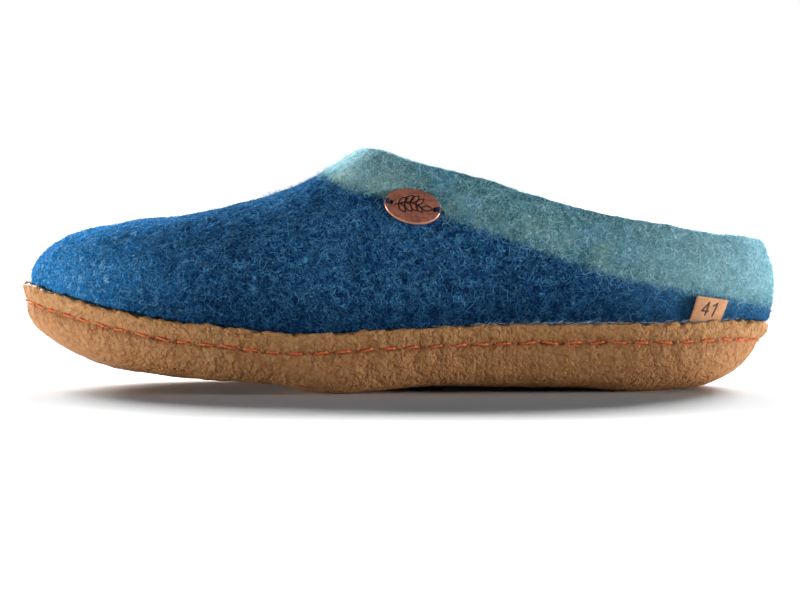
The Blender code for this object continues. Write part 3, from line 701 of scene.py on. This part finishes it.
def pucker(points):
    """How strongly the wall is drawn in by the stitches, below and above the seam."""
    low, share = angle_index(points)
    along = seam_along[low] * (1 - share) + seam_along[low + 1] * share
    middles = np.array([(a + b) / 2 for a, b, _ in STITCHES])
    gap = SEAM_LENGTH / len(STITCHES)
    nearest = np.min(
        np.abs((along[:, None] - middles[None] + SEAM_LENGTH / 2) % SEAM_LENGTH - SEAM_LENGTH / 2),
        axis=1,
    )
    return np.cos(nearest / gap * 2 * math.pi)


def about_wall(mesh):
    """Each point and its normal, how far it faces out, and how far it lies below the lip."""
    points, normals = points_of(mesh), normals_of(mesh)
    facing = (normals[:, :2] * unit(points[:, :2])).sum(axis=1)
    return points, normals, facing, lip_over(points) - points[:, 2]


def crepe_sole():
    """The crepe outsole: the CAD's cup with grain, puckers and a crumbling lip."""
    mesh = subdivided(mesh_of(merged("outsole"), "crepe"), 2)
    _, _, facing, below = about_wall(mesh)
    mesh = refined(mesh, (facing > 0.15) | (below < 1.2 * MM))
    points, normals, facing, below = about_wall(mesh)
    inner = (facing < -0.25) | ((normals[:, 2] > 0.5) & (below > 1.5 * MM))
    free = np.where(inner, 0.0, 1.0)

    # Uneven all over, and crumbling at the lip
    lip = (1 - smooth(0.4 * MM, 2.6 * MM, below)) * free
    grain = lumps(points, 1.7 * MM, seed=1, detail=2)
    knobs = lumps(points, 4.2 * MM, seed=2)
    waves = lumps(points, 14.0 * MM, seed=3)
    push = (0.16 * grain + 0.20 * knobs + 0.32 * waves) * MM * free
    push += 0.55 * MM * lumps(points, 2.6 * MM, seed=4, detail=2) * lip

    # A groove along the seam, and a fuller lip behind the heel
    push -= 0.45 * MM * np.exp(-(((below - SEAM_DROP) / (0.9 * MM)) ** 2)) * free
    bulge = np.exp(-(((below - 3.0 * MM) / (2.4 * MM)) ** 2)) * free
    push += 1.0 * MM * bulge * smooth(112 * MM, 136 * MM, points[:, 0])

    # Puckers, drawn in by the stitches more tightly here than there
    tight = 0.5 + 0.5 * lumps(points, 26.0 * MM, seed=5)
    reach = smooth(SEAM_DROP - 5 * MM, SEAM_DROP - 1 * MM, below)
    reach *= 1 - smooth(SEAM_DROP + 2 * MM, SEAM_DROP + 13 * MM, below)
    drawn = pucker(points)
    push += drawn * tight * reach * free * -0.34 * MM
    points += normals * push[:, None]

    # The lip's torn edge, and a flat underside
    ragged = 0.75 * lumps(points, 4.4 * MM, seed=6, detail=2) + 0.35 * lumps(points, 1.9 * MM, seed=7)
    points[:, 2] += lip * MM * ragged
    points[:, 2] = np.maximum(points[:, 2], 0.0)
    place_points(mesh, points)
    note(mesh, "below", below)
    # Where the puckers fold between the stitches, for painted shade
    note(mesh, "fold_shade", smooth(-0.45, -0.98, drawn) * np.clip(tight, 0, 1) * reach * free)
    return piece("crepe_outsole", mesh, crepe(), ["outsole"])


def stitches():
    """The running stitch round the sole: two plies twisted about each other, in each stitch."""
    heap = Heap()
    steps, turns = 13, 2.2
    ply_radius, ply_offset = 0.30 * THREAD, 0.22 * THREAD
    for start, end, tilt in STITCHES:
        for ply in (0.0, math.pi):
            line = []
            for t in np.linspace(0, 1, steps):
                distance = start + (end - start) * t
                out = seam_out(distance)
                arch = 1 - abs(2 * t - 1) ** 3
                lift = (-1.05 + 1.30 * arch) * MM
                turn = ply + t * turns * 2 * math.pi
                at = seam_at(distance) + out * (lift + math.cos(turn) * ply_offset)
                at[2] += math.sin(turn) * ply_offset + tilt * (2 * t - 1)
                line.append(at)
            heap.add(*tube(line, [ply_radius] * steps, 6))
    surface = thread("orange_thread", *ORANGE_THREAD)
    return piece("sole_stitches", heap.mesh(), surface)


# The felt

TIDE = np.array(TIDE_LINE) * MM


def tide_above(points):
    """How far each point lies above the line where the blue wool ends."""
    far_side = smooth(-8 * MM, 8 * MM, points[:, 1])
    x = points[:, 0] - far_side * 4 * MM
    edge = np.interp(x, TIDE[:, 0], TIDE[:, 1])
    slope = np.interp(x + MM, TIDE[:, 0], TIDE[:, 1]) - np.interp(x - MM, TIDE[:, 0], TIDE[:, 1])
    return (points[:, 2] - edge) / np.hypot(1.0, slope / (2 * MM))


def heel_and_throat_light(points):
    """How much painted light brightens the wool towards the back of the heel and at the front of the
    throat.
    """
    x = points[:, 0]
    throat = smooth(14 * MM, -22 * MM, x) * smooth(0.0, 6 * MM, tide_above(points))
    return smooth(60 * MM, 132 * MM, x) + 1.5 * throat


def toe_light_share(points):
    """How much lighter the wool is towards the tip of the toe and over the instep: partly paler wool,
    partly painted light.
    """
    over = points[:, 2] - lip_over(points)
    instep = smooth(20 * MM, 38 * MM, over) * smooth(10 * MM, -25 * MM, points[:, 0])
    return np.maximum(smooth(-52 * MM, -126 * MM, points[:, 0]), 0.13 * instep)


def low_shade_share(points):
    """How much painted shade darkens the wool low down, where it meets the sole."""
    over = points[:, 2] - lip_over(points)
    return (1 - smooth(1 * MM, 17 * MM, over)) * smooth(-125 * MM, -85 * MM, points[:, 0])


def felt_upper():
    """The felt body: the CAD's wall with the lumps of hand felting."""
    mesh = subdivided(mesh_of(merged("upper"), "felt"), 2)
    _, normals, facing, below = about_wall(mesh)
    mesh = refined(mesh, (facing + 0.8 * normals[:, 2] > 0.0) & (below < 0))
    points, normals, _, below = about_wall(mesh)
    free = smooth(-0.5 * MM, 4.0 * MM, -below)
    push = 0.55 * lumps(points, 17.0 * MM, seed=21) + 0.38 * lumps(points, 7.5 * MM, seed=22)
    push += 0.26 * lumps(points, 3.2 * MM, seed=23, detail=2)
    push += 0.20 * lumps(points, 1.7 * MM, seed=24)
    points += normals * (push * MM * free)[:, None]

    # The heel swells out over the lip, and the collar rises a little behind
    over = points[:, 2] - lip_over(points)
    backward = smooth(0.0, 0.5, normals[:, 0])
    swell = smooth(0.1 * MM, 1.4 * MM, over) * np.exp(-np.maximum(over, 0) / (5.5 * MM)) * backward
    points[:, 0] += HEEL_SWELL * swell * smooth(100 * MM, 134 * MM, points[:, 0])
    rise = smooth(55 * MM, 110 * MM, points[:, 0]) * smooth(8 * MM, 24 * MM, over)
    points[:, 2] += COLLAR_RISE * rise
    place_points(mesh, points)
    note(mesh, "tide", tide_above(points))
    # The pale attribute carries painted light, not paler wool
    note(mesh, "pale", heel_and_throat_light(points))
    note(mesh, "low_shade", low_shade_share(points))
    # The toe attribute carries how much lighter the toe is painted: paler wool with painted light
    note(mesh, "toe", toe_light_share(points))
    return piece("felt_upper", mesh, wool("wool_felt"), ["upper"])


class Felt:
    """Draws random roots for fibres on the visible part of a felt surface, more at the heel."""

    def __init__(self, mesh, seed):
        self.draw = np.random.default_rng(seed)
        self.tree = tree_of(mesh)
        mesh.calc_loop_triangles()
        corners = np.zeros(len(mesh.loop_triangles) * 3, np.int32)
        mesh.loop_triangles.foreach_get("vertices", corners)
        self.corners = corners.reshape(-1, 3)
        self.points = points_of(mesh)
        self.normals = normals_of(mesh)
        a, b, c = (self.points[self.corners[:, k]] for k in range(3))
        area = np.linalg.norm(np.cross(b - a, c - a), axis=1)
        middle = (a + b + c) / 3
        area[middle[:, 2] < lip_over(middle) + 0.3 * MM] = 0.0
        area *= 1 + 2.0 * smooth(80 * MM, 125 * MM, middle[:, 0])
        self.share = np.cumsum(area) / area.sum()

    def roots(self, count):
        """Random places on the surface, and the normal at each."""
        rows = self.corners[np.searchsorted(self.share, self.draw.random(count))]
        weights = self.draw.random((count, 2))
        weights[weights.sum(axis=1) > 1] = 1 - weights[weights.sum(axis=1) > 1]
        w = np.concatenate([weights, 1 - weights.sum(axis=1, keepdims=True)], axis=1)
        at = (self.points[rows] * w[:, :, None]).sum(axis=1)
        normal = (self.normals[rows] * w[:, :, None]).sum(axis=1)
        return at, unit(normal)


def tangents(draw, normals):
    """A random direction square to each of these normals."""
    return unit(np.cross(normals, draw.normal(size=normals.shape)))


def grown(at, heading, turn, length, steps):
    """Fibres that bend by a turn at every step, and the heading in which each one ends."""
    lines = np.zeros((len(at), steps, 3))
    for n in range(steps):
        lines[:, n] = at
        at = at + heading * (length / (steps - 1))[:, None]
        heading = unit(heading + turn)
    return lines, heading


def ribbons(lines, across, widths, shades):
    """A mesh of narrow strips, one along each line of points."""
    count, steps = lines.shape[:2]
    along = np.linspace(0, 1, steps)
    taper = 0.35 + 0.65 * np.sin(np.pi * np.clip(along, 0.04, 0.96))
    half = across * (widths[:, None] * taper[None] / 2)[:, :, None]
    points = np.stack([lines - half, lines + half], axis=2).reshape(-1, 3)
    first = np.arange(count)[:, None] * steps * 2 + np.arange(steps - 1)[None] * 2
    first = first.ravel()
    faces = np.stack([first, first + 1, first + 3, first + 2], axis=1)
    mesh = bpy.data.meshes.new("fibres")
    mesh.from_pydata(points.tolist(), [], faces.tolist())
    note(mesh, "shade", np.repeat(shades, steps * 2))
    return mesh


def lying_fibres(felt, count, steps=6):
    """Curling fibres that lie on the felt and dip in and out of it."""
    draw = felt.draw
    at, normal = felt.roots(count)
    heading = tangents(draw, normal)
    length = draw.uniform(2.2, 6.5, count) * MM
    curl = draw.normal(0.0, 0.55, count)
    bold = draw.random(count) < 0.25
    width = np.where(bold, draw.uniform(0.12, 0.18, count), draw.uniform(0.07, 0.12, count)) * MM
    shades = np.where(bold, draw.uniform(0.30, 0.95, count), draw.beta(1.2, 2.6, count))
    lines = np.zeros((count, steps, 3))
    sides = np.zeros((count, steps, 3))
    lift = draw.uniform(0.02, 0.45, (count, steps)) * MM
    for n in range(steps):
        for i in range(count):
            hit, facing, _, _ = felt.tree.find_nearest(Vector(at[i]))
            at[i] = hit
            normal[i] = facing
        side = unit(np.cross(normal, heading))
        heading = np.cross(side, normal)
        lines[:, n] = at + normal * lift[:, n : n + 1]
        sides[:, n] = side
        bend = curl + draw.normal(0.0, 0.35, count)
        heading = heading * np.cos(bend)[:, None] + side * np.sin(bend)[:, None]
        at = at + heading * (length / (steps - 1))[:, None]
    return lines, sides, width, shades


def standing_fuzz(felt, count, steps=3):
    """Short stray fibres that stand off the felt and blur its outline."""
    draw = felt.draw
    at, normal = felt.roots(count)
    side = tangents(draw, normal)
    lean = draw.uniform(0.15, 1.25, count)[:, None]
    heading = normal * np.cos(lean) + side * np.sin(lean)
    turn = tangents(draw, heading) * draw.uniform(0.15, 0.75, count)[:, None]
    length = draw.gamma(3.0, 0.42, count) * MM
    length = np.minimum(length, 3.2 * MM)
    width = draw.uniform(0.06, 0.11, count) * MM
    lines, heading = grown(at - normal * 0.1 * MM, heading, turn, length, steps)
    flat = tangents(draw, heading)
    shades = draw.beta(1.5, 1.7, count)
    return lines, np.repeat(flat[:, None], steps, axis=1), width, shades


def fibre_pieces(upper):
    """The fibres on the upper, in blue and in turquoise."""
    felt = Felt(upper.data, 31)
    kinds = (("lying", lying_fibres, LYING_FIBRES), ("fuzz", standing_fuzz, FUZZ_FIBRES))
    surfaces = {"blue": fibre("blue_fibre", BLUE), "turquoise": fibre("turquoise_fibre", TURQUOISE)}
    for kind, make, count in kinds:
        lines, sides, widths, shades = make(felt, count)
        above = tide_above(lines[:, 0]) + felt.draw.normal(0.0, 1.2, count) * MM
        # The fibres take the same painted light at the heel, the throat and the toe, and the same
        # painted shade low by the sole
        shades = shades + 0.25 * heel_and_throat_light(lines[:, 0]) + 0.50 * toe_light_share(lines[:, 0])
        shades = np.clip(shades * (1 - 0.6 * low_shade_share(lines[:, 0])), 0.0, 1.0)
        for colour, chosen in (("blue", above < 0), ("turquoise", above >= 0)):
            dim = 0.6 if (kind, colour) == ("fuzz", "blue") else 1.0
            mesh = ribbons(lines[chosen], sides[chosen], widths[chosen], shades[chosen] * dim)
            piece(f"{colour}_{kind}_fibres", mesh, surfaces[colour])


def lip_fibres(count=LIP_FIBRES, steps=5):
    """Pale loose fibres caught between the felt and the lip of the sole, round the heel."""
    draw = np.random.default_rng(61)
    lip = np.array([tuple(place) for place in lip_places])
    back = smooth(5 * MM, 80 * MM, lip[:, 0])
    rows = draw.choice(ANGLES, count, p=back / back.sum())
    inward = unit(-lip[rows, :2])
    at = lip[rows] + np.concatenate([inward, np.zeros((count, 1))], axis=1) * 0.9 * MM
    at[:, 2] += draw.uniform(0.0, 0.7, count) * MM
    heading = lip[(rows + 3) % ANGLES] - lip[rows]
    stray = draw.normal(0.0, 0.35, heading.shape)
    heading = unit(heading + stray * np.linalg.norm(heading, axis=1, keepdims=True))
    turn = tangents(draw, heading) * draw.uniform(0.1, 0.5, count)[:, None]
    length = draw.uniform(1.2, 3.6, count) * MM
    lines, _ = grown(at, heading, turn, length, steps)
    flat = np.repeat(np.array([[[0.0, 0.0, 1.0]]]), count, axis=0)
    widths = draw.uniform(0.07, 0.13, count) * MM
    mesh = ribbons(lines, np.repeat(flat, steps, axis=1), widths, draw.random(count))
    return piece("lip_fibres", mesh, fibre("pale_fibre", PALE_WOOL))


def footbed():
    """The loose felt insole, slightly uneven and pressed by the foot."""
    mesh = subdivided(mesh_of(merged("insole"), "footbed"), 2)
    points, normals = points_of(mesh), normals_of(mesh)
    free = smooth(0.2, 0.8, normals[:, 2])
    push = 0.30 * lumps(points, 16.0 * MM, seed=41) + 0.18 * lumps(points, 5.0 * MM, seed=42) - 0.25
    points += normals * (push * MM * free)[:, None]
    place_points(mesh, points)
    obj = piece("felt_footbed", mesh, footbed_wool(), ["insole"])
    return obj


# The badge and the tab


def face_frame(node):
    """The middle of a small plate, with its directions across, up and outward."""
    points = points_of(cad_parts[node].data)
    middle = (points.min(axis=0) + points.max(axis=0)) / 2
    spread = points - points.mean(axis=0)
    _, axes = np.linalg.eigh(spread.T @ spread)
    outward = axes[:, 0] if axes[1, 0] < 0 else -axes[:, 0]
    across = axes[:, 2] if axes[0, 2] > 0 else -axes[:, 2]
    up = np.cross(outward, across)
    up = up if up[2] > 0 else -up
    return middle, across, up, outward


def stroke_distance(points, strokes):
    """The distance of each flat point from the nearest of some polylines."""
    best = np.full(len(points), 1.0)
    for line in strokes:
        line = np.array(line)
        for a, b in zip(line, line[1:]):
            along = b - a
            t = np.clip(((points - a) @ along) / (along @ along), 0, 1)
            best = np.minimum(best, np.linalg.norm(points - a - t[:, None] * along, axis=1))
    return best


def cut_plate(edges, spacing):
    """A flat plate filled with a fine grid of points, cut along an outline and round its holes."""
    points, lines = [], []
    for edge in edges:
        first = len(points)
        points += [tuple(p) for p in edge]
        lines += [(first + n, first + (n + 1) % len(edge)) for n in range(len(edge))]
    low = np.min(edges[0], axis=0)
    high = np.max(edges[0], axis=0)
    row_height = spacing * 0.87
    grid = []
    for n, v in enumerate(np.arange(low[1] + spacing / 2, high[1], row_height)):
        for u in np.arange(low[0] + spacing / 2 * (1 + n % 2), high[0], spacing):
            grid.append((u, v))
    grid = np.array(grid)
    rims = [list(edge) + [edge[0]] for edge in edges]
    clear = stroke_distance(grid, rims) > spacing * 0.6
    points += [tuple(p) for p in grid[clear]]
    flat = delaunay_2d_cdt([Vector(p) for p in points], lines, [], 2, 1e-8)
    places = np.array([tuple(v) for v in flat[0]])
    faces = [tuple(f) for f in flat[2]]
    for hole in edges[1:]:
        centre = np.mean(hole, axis=0)
        radius = np.linalg.norm(np.array(hole) - centre, axis=1).min() * 0.97
        away = [np.linalg.norm(places[list(f)].mean(axis=0) - centre) for f in faces]
        faces = [f for f, distance in zip(faces, away) if distance > radius]
    return places, faces, rims


def plate_frame(node, shift, upright=False):
    """The frame of a plate that is dressed a little off the middle of its CAD plate."""
    middle, across, up, outward = face_frame(node)
    middle = middle + across * shift[0] + up * shift[1]
    if upright:
        across = np.array([across[0], across[1], 0.0])
        across /= np.linalg.norm(across)
        outward = np.array([across[1], -across[0], 0.0])
        outward = outward if outward[1] < 0 else -outward
        up = np.array([0.0, 0.0, 1.0])
    return middle, across, up, outward


def fitted_base(node, axes, flat, to_rim):
    """How far out each place lies on a smooth sheet that is fitted to the CAD plate.

    The CAD plate is met by rays just inside the outline, and the sheet is fitted to the places
    that lie well away from its rounded edges.
    """
    middle, across, up, outward = axes
    tree = tree_of(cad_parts[node].data)
    inside, ahead = 0.985, 20 * MM
    bases = []
    for u, v in flat * inside:
        start = Vector(middle + across * u + up * v + outward * ahead)
        hit = tree.ray_cast(start, Vector(-outward))[0]
        bases.append(ahead - (hit - start).length if hit else np.nan)
    bases = np.array(bases)
    u, v = flat.T / (10 * MM)
    terms = np.stack([np.ones(len(flat)), u, v, u * u, u * v, v * v], axis=1)
    good = ~np.isnan(bases) & (to_rim > 1.5 * MM)
    return terms @ np.linalg.lstsq(terms[good], bases[good], rcond=None)[0]


def closed(triangles, layer):
    """The faces of a plate: its back, its front, and the walls between their open edges."""
    seen = {(a, b) for t in triangles for a, b in zip(t, t[1:] + t[:1])}
    faces = [tuple(layer + v for v in reversed(t)) for t in triangles]
    faces += list(triangles)
    faces += [(b, a, layer + a, layer + b) for a, b in sorted(seen) if (b, a) not in seen]
    return faces


def relief(node, edges, spacing, thickness, strokes, stroke, depth, rounding, shift, upright=False):
    """A plate over a CAD plate, with rounded edges and engraved strokes."""
    axes = plate_frame(node, shift, upright)
    middle, across, up, outward = axes
    flat, triangles, rims = cut_plate(edges, spacing)
    layer = len(flat)
    to_rim = stroke_distance(flat, rims)
    edge = np.clip(to_rim / rounding, 0, 1)
    drop = rounding * (1 - np.sqrt(1 - (1 - edge) ** 2))
    mark = 1 - smooth(stroke * 0.35, stroke * 0.75, stroke_distance(flat, strokes))
    base = fitted_base(node, axes, flat, to_rim)
    shape = middle + np.outer(flat[:, 0], across) + np.outer(flat[:, 1], up)
    front = shape + np.outer(base - drop - mark * depth, outward)
    back = shape + np.outer(base - thickness, outward)
    mesh = mesh_from(np.concatenate([front, back]), closed(triangles, layer))
    # Round any holes the mark is painted dark too, as painted shade in the holes
    if rims[1:]:
        mark = np.maximum(mark, 1 - smooth(0.05 * MM, 0.40 * MM, stroke_distance(flat, rims[1:])))
    # The copper badge lightens this rim, partly as a painted highlight
    rim = 1 - smooth(0.0, rounding * 1.4, stroke_distance(flat, rims[:1]))
    note(mesh, "mark", np.concatenate([mark, np.ones(layer)]))
    note(mesh, "rim", np.concatenate([rim, np.ones(layer)]))
    return mesh


def oval(length, width, count, centre=0.0):
    angles = [n * 2 * math.pi / count for n in range(count)]
    return [(centre + length / 2 * math.cos(a), width / 2 * math.sin(a)) for a in angles]


def leaf(x, y, heading, length):
    """The outline of a pointed leaf that starts at a point and lies along a heading."""
    sides = []
    for side in (-1, 1):
        line = []
        for t in np.linspace(0, 1, 9):
            bow = side * 0.24 * length * math.sin(t * math.pi) ** 0.9
            along = length * t
            line.append(
                (
                    (x + along * math.cos(heading) - bow * math.sin(heading)) * MM,
                    (y + along * math.sin(heading) + bow * math.cos(heading)) * MM,
                )
            )
        sides.append(line)
    return sides


def sprig():
    """A plain leafy sprig, the badge's engraving."""
    stem = [(-5.6 + 8.2 * t, 0.9 * math.sin(t * 4.2 - 0.7)) for t in np.linspace(0, 1, 15)]
    strokes = [[(x * MM, y * MM) for x, y in stem]]
    for n, length in ((2, 3.3), (5, 3.6), (8, 3.4), (11, 3.0)):
        for heading in (0.80, -0.80):
            strokes += leaf(*stem[n], heading, length)
    strokes += leaf(*stem[-1], 0.10, 3.4)
    wider, taller = 1.2, 1.3
    return [[(x * wider, y * taller) for x, y in line] for line in strokes]


def copper_badge():
    """The oval copper badge, with rounded rim, two drilled holes and an engraved sprig."""
    edges = [
        oval(BADGE_LENGTH, BADGE_WIDTH, 150),
        oval(HOLE, HOLE, 18, HOLE_SPACING / 2),
        oval(HOLE, HOLE, 18, -HOLE_SPACING / 2),
    ]
    mesh = relief(
        "badge",
        edges,
        spacing=0.2 * MM,
        thickness=0.9 * MM,
        strokes=sprig(),
        stroke=0.50 * MM,
        depth=0.16 * MM,
        rounding=0.40 * MM,
        shift=BADGE_SHIFT,
    )
    return piece("copper_badge", mesh, copper(), ["badge"])


def ties():
    """The navy thread that ties the badge on through its holes."""
    middle, across, up, outward = plate_frame("badge", BADGE_SHIFT)
    heap = Heap()
    draw = np.random.default_rng(51)
    for end in (-1, 1):
        hole = middle + across * end * HOLE_SPACING / 2
        for n in range(3):
            spot = (n - 1) * TIE_SPACING
            line = []
            for t in np.linspace(0, 1, 12):
                reach = (-0.60 + 3.3 * t) * MM
                lift = (-1.2 + 2.35 * math.sin(min(t * 1.5, 1.0) * math.pi * 0.5)) * MM
                lift -= max(t - 0.55, 0) * 6.0 * MM
                sway = draw.normal(0, 0.05) * MM
                line.append(
                    hole + across * end * reach + up * (spot * (1 + t) + sway) + outward * lift
                )
            heap.add(*tube(line, [TIE_RADIUS] * len(line), 7))
    knot = middle + across * (BADGE_LENGTH / 2 + 0.6 * MM) - outward * 0.4 * MM
    for n in range(2):
        line = []
        for t in np.linspace(0, 1, 10):
            run = t * (1.3 + 0.7 * n) * MM
            sink = (0.6 - 1.1 * t) * MM
            line.append(knot + across * run * 0.8 - up * run * (0.55 + 0.3 * n) + outward * sink)
        heap.add(*tube(line, [LOOSE_END_RADIUS] * len(line), 6))
    surface = thread("navy_thread", *NAVY_THREAD)
    return piece("badge_ties", heap.mesh(), surface)


def digits():
    """The tab's size number in single strokes, leaning a little to the right."""
    four = [[(-2.95, -0.85), (-0.55, -0.85)], [(-2.95, -0.85), (-1.25, 2.15), (-1.15, -2.15)]]
    one = [[(0.75, 1.15), (2.05, 2.15), (1.75, -2.15)]]
    lean, fall, size = 0.30, 0.13, 1.06
    found = []
    for line in four + one:
        slanted = [(x + y * lean - 0.3, y - x * fall - 0.2) for x, y in line]
        found.append([(x * size * MM, y * size * MM) for x, y in slanted])
    return found


def leather_tab():
    """The leather size tab."""

    def corner(a, b):
        u = (a - 0.5) * TAB_WIDTH + (b - 0.5) * TAB_SLANT - 0.3 * MM
        return (u, (b - 0.5) * TAB_HEIGHT - a * b * TAB_FALL)

    edge = []
    radius = 0.035
    for a, b, start in ((0, 0, 180), (1, 0, 270), (1, 1, 0), (0, 1, 90)):
        for k in range(6):
            angle = math.radians(start + 90 * k / 5)
            centre = (a + radius * (1 - 2 * a), b + radius * (1 - 2 * b))
            edge.append(
                corner(centre[0] + radius * math.cos(angle), centre[1] + radius * math.sin(angle))
            )
    full = []
    for n, point in enumerate(edge):
        after = np.array(edge[(n + 1) % len(edge)])
        point = np.array(point)
        parts = max(1, round(np.linalg.norm(after - point) / (0.3 * MM)))
        full += [tuple(point + (after - point) * k / parts) for k in range(parts)]
    mesh = relief(
        "size_tab",
        [full],
        spacing=0.22 * MM,
        thickness=1.1 * MM,
        strokes=digits(),
        stroke=0.62 * MM,
        depth=0.16 * MM,
        rounding=0.30 * MM,
        shift=TAB_SHIFT,
        upright=True,
    )
    return piece("leather_tab", mesh, leather(), ["size_tab"])


# Stage, light and camera


def floor():
    """A plain pale floor."""
    size = 12.0
    mesh = mesh_from(
        [(-size, -size, 0), (size, -size, 0), (size, size, 0), (-size, size, 0)], [(0, 1, 2, 3)]
    )
    s = Surface("floor", Roughness=0.9, Specular_IOR_Level=0.1)
    mesh.materials.append(s.finish((0.62, 0.62, 0.62)))
    obj = bpy.data.objects.new("floor", mesh)
    bpy.context.scene.collection.objects.link(obj)


def sun(name, direction, strength, spread):
    """A soft light that shines along a direction."""
    lamp = bpy.data.lights.new(name, "SUN")
    lamp.energy = strength
    lamp.angle = math.radians(spread)
    obj = bpy.data.objects.new(name, lamp)
    obj.rotation_euler = Vector(direction).to_track_quat("-Z", "Y").to_euler()
    bpy.context.scene.collection.objects.link(obj)


def light():
    """Soft suns from behind, low ones at both ends, a weak one in front, and a white surround."""
    sun("back", (0.0, -1.0, -0.50), 2.4, 26)
    sun("toe_back", (0.50, -1.0, -0.50), 7.8, 22)
    sun("heel_back", (-0.50, -1.0, -0.50), 7.8, 22)
    sun("toe_side", (1.0, 0.16, -0.07), 3.1, 8)
    sun("heel_side", (-1.0, 0.14, -0.07), 3.6, 8)
    sun("front", (0.0, 1.0, -0.16), 0.16, 30)
    world = bpy.data.worlds.new("surround")
    world.use_nodes = True
    nodes, links = world.node_tree.nodes, world.node_tree.links
    backdrop = nodes["Background"]
    backdrop.inputs["Color"].default_value = (1.0, 1.0, 1.0, 1.0)
    seen = nodes.new("ShaderNodeLightPath").outputs["Is Camera Ray"]
    strength = nodes.new("ShaderNodeMapRange")
    strength.inputs["To Min"].default_value = 0.03
    strength.inputs["To Max"].default_value = 1.1
    links.new(seen, strength.inputs["Value"])
    links.new(strength.outputs["Result"], backdrop.inputs["Strength"])
    bpy.context.scene.world = world
    bpy.context.scene.view_settings.view_transform = "Standard"


def camera():
    """The camera of the photograph's view."""
    lens = bpy.data.cameras.new("camera")
    lens.lens = FOCAL_LENGTH
    lens.sensor_width = 36.0
    lens.clip_end = 50.0
    obj = bpy.data.objects.new("camera", lens)
    obj.location = EYE
    obj.rotation_euler = (Vector(AIM) - Vector(EYE)).to_track_quat("-Z", "Y").to_euler()
    bpy.context.scene.collection.objects.link(obj)
    bpy.context.scene.camera = obj


crepe_sole()
stitches()
fibre_pieces(felt_upper())
lip_fibres()
footbed()
copper_badge()
ties()
leather_tab()
floor()
light()
camera()
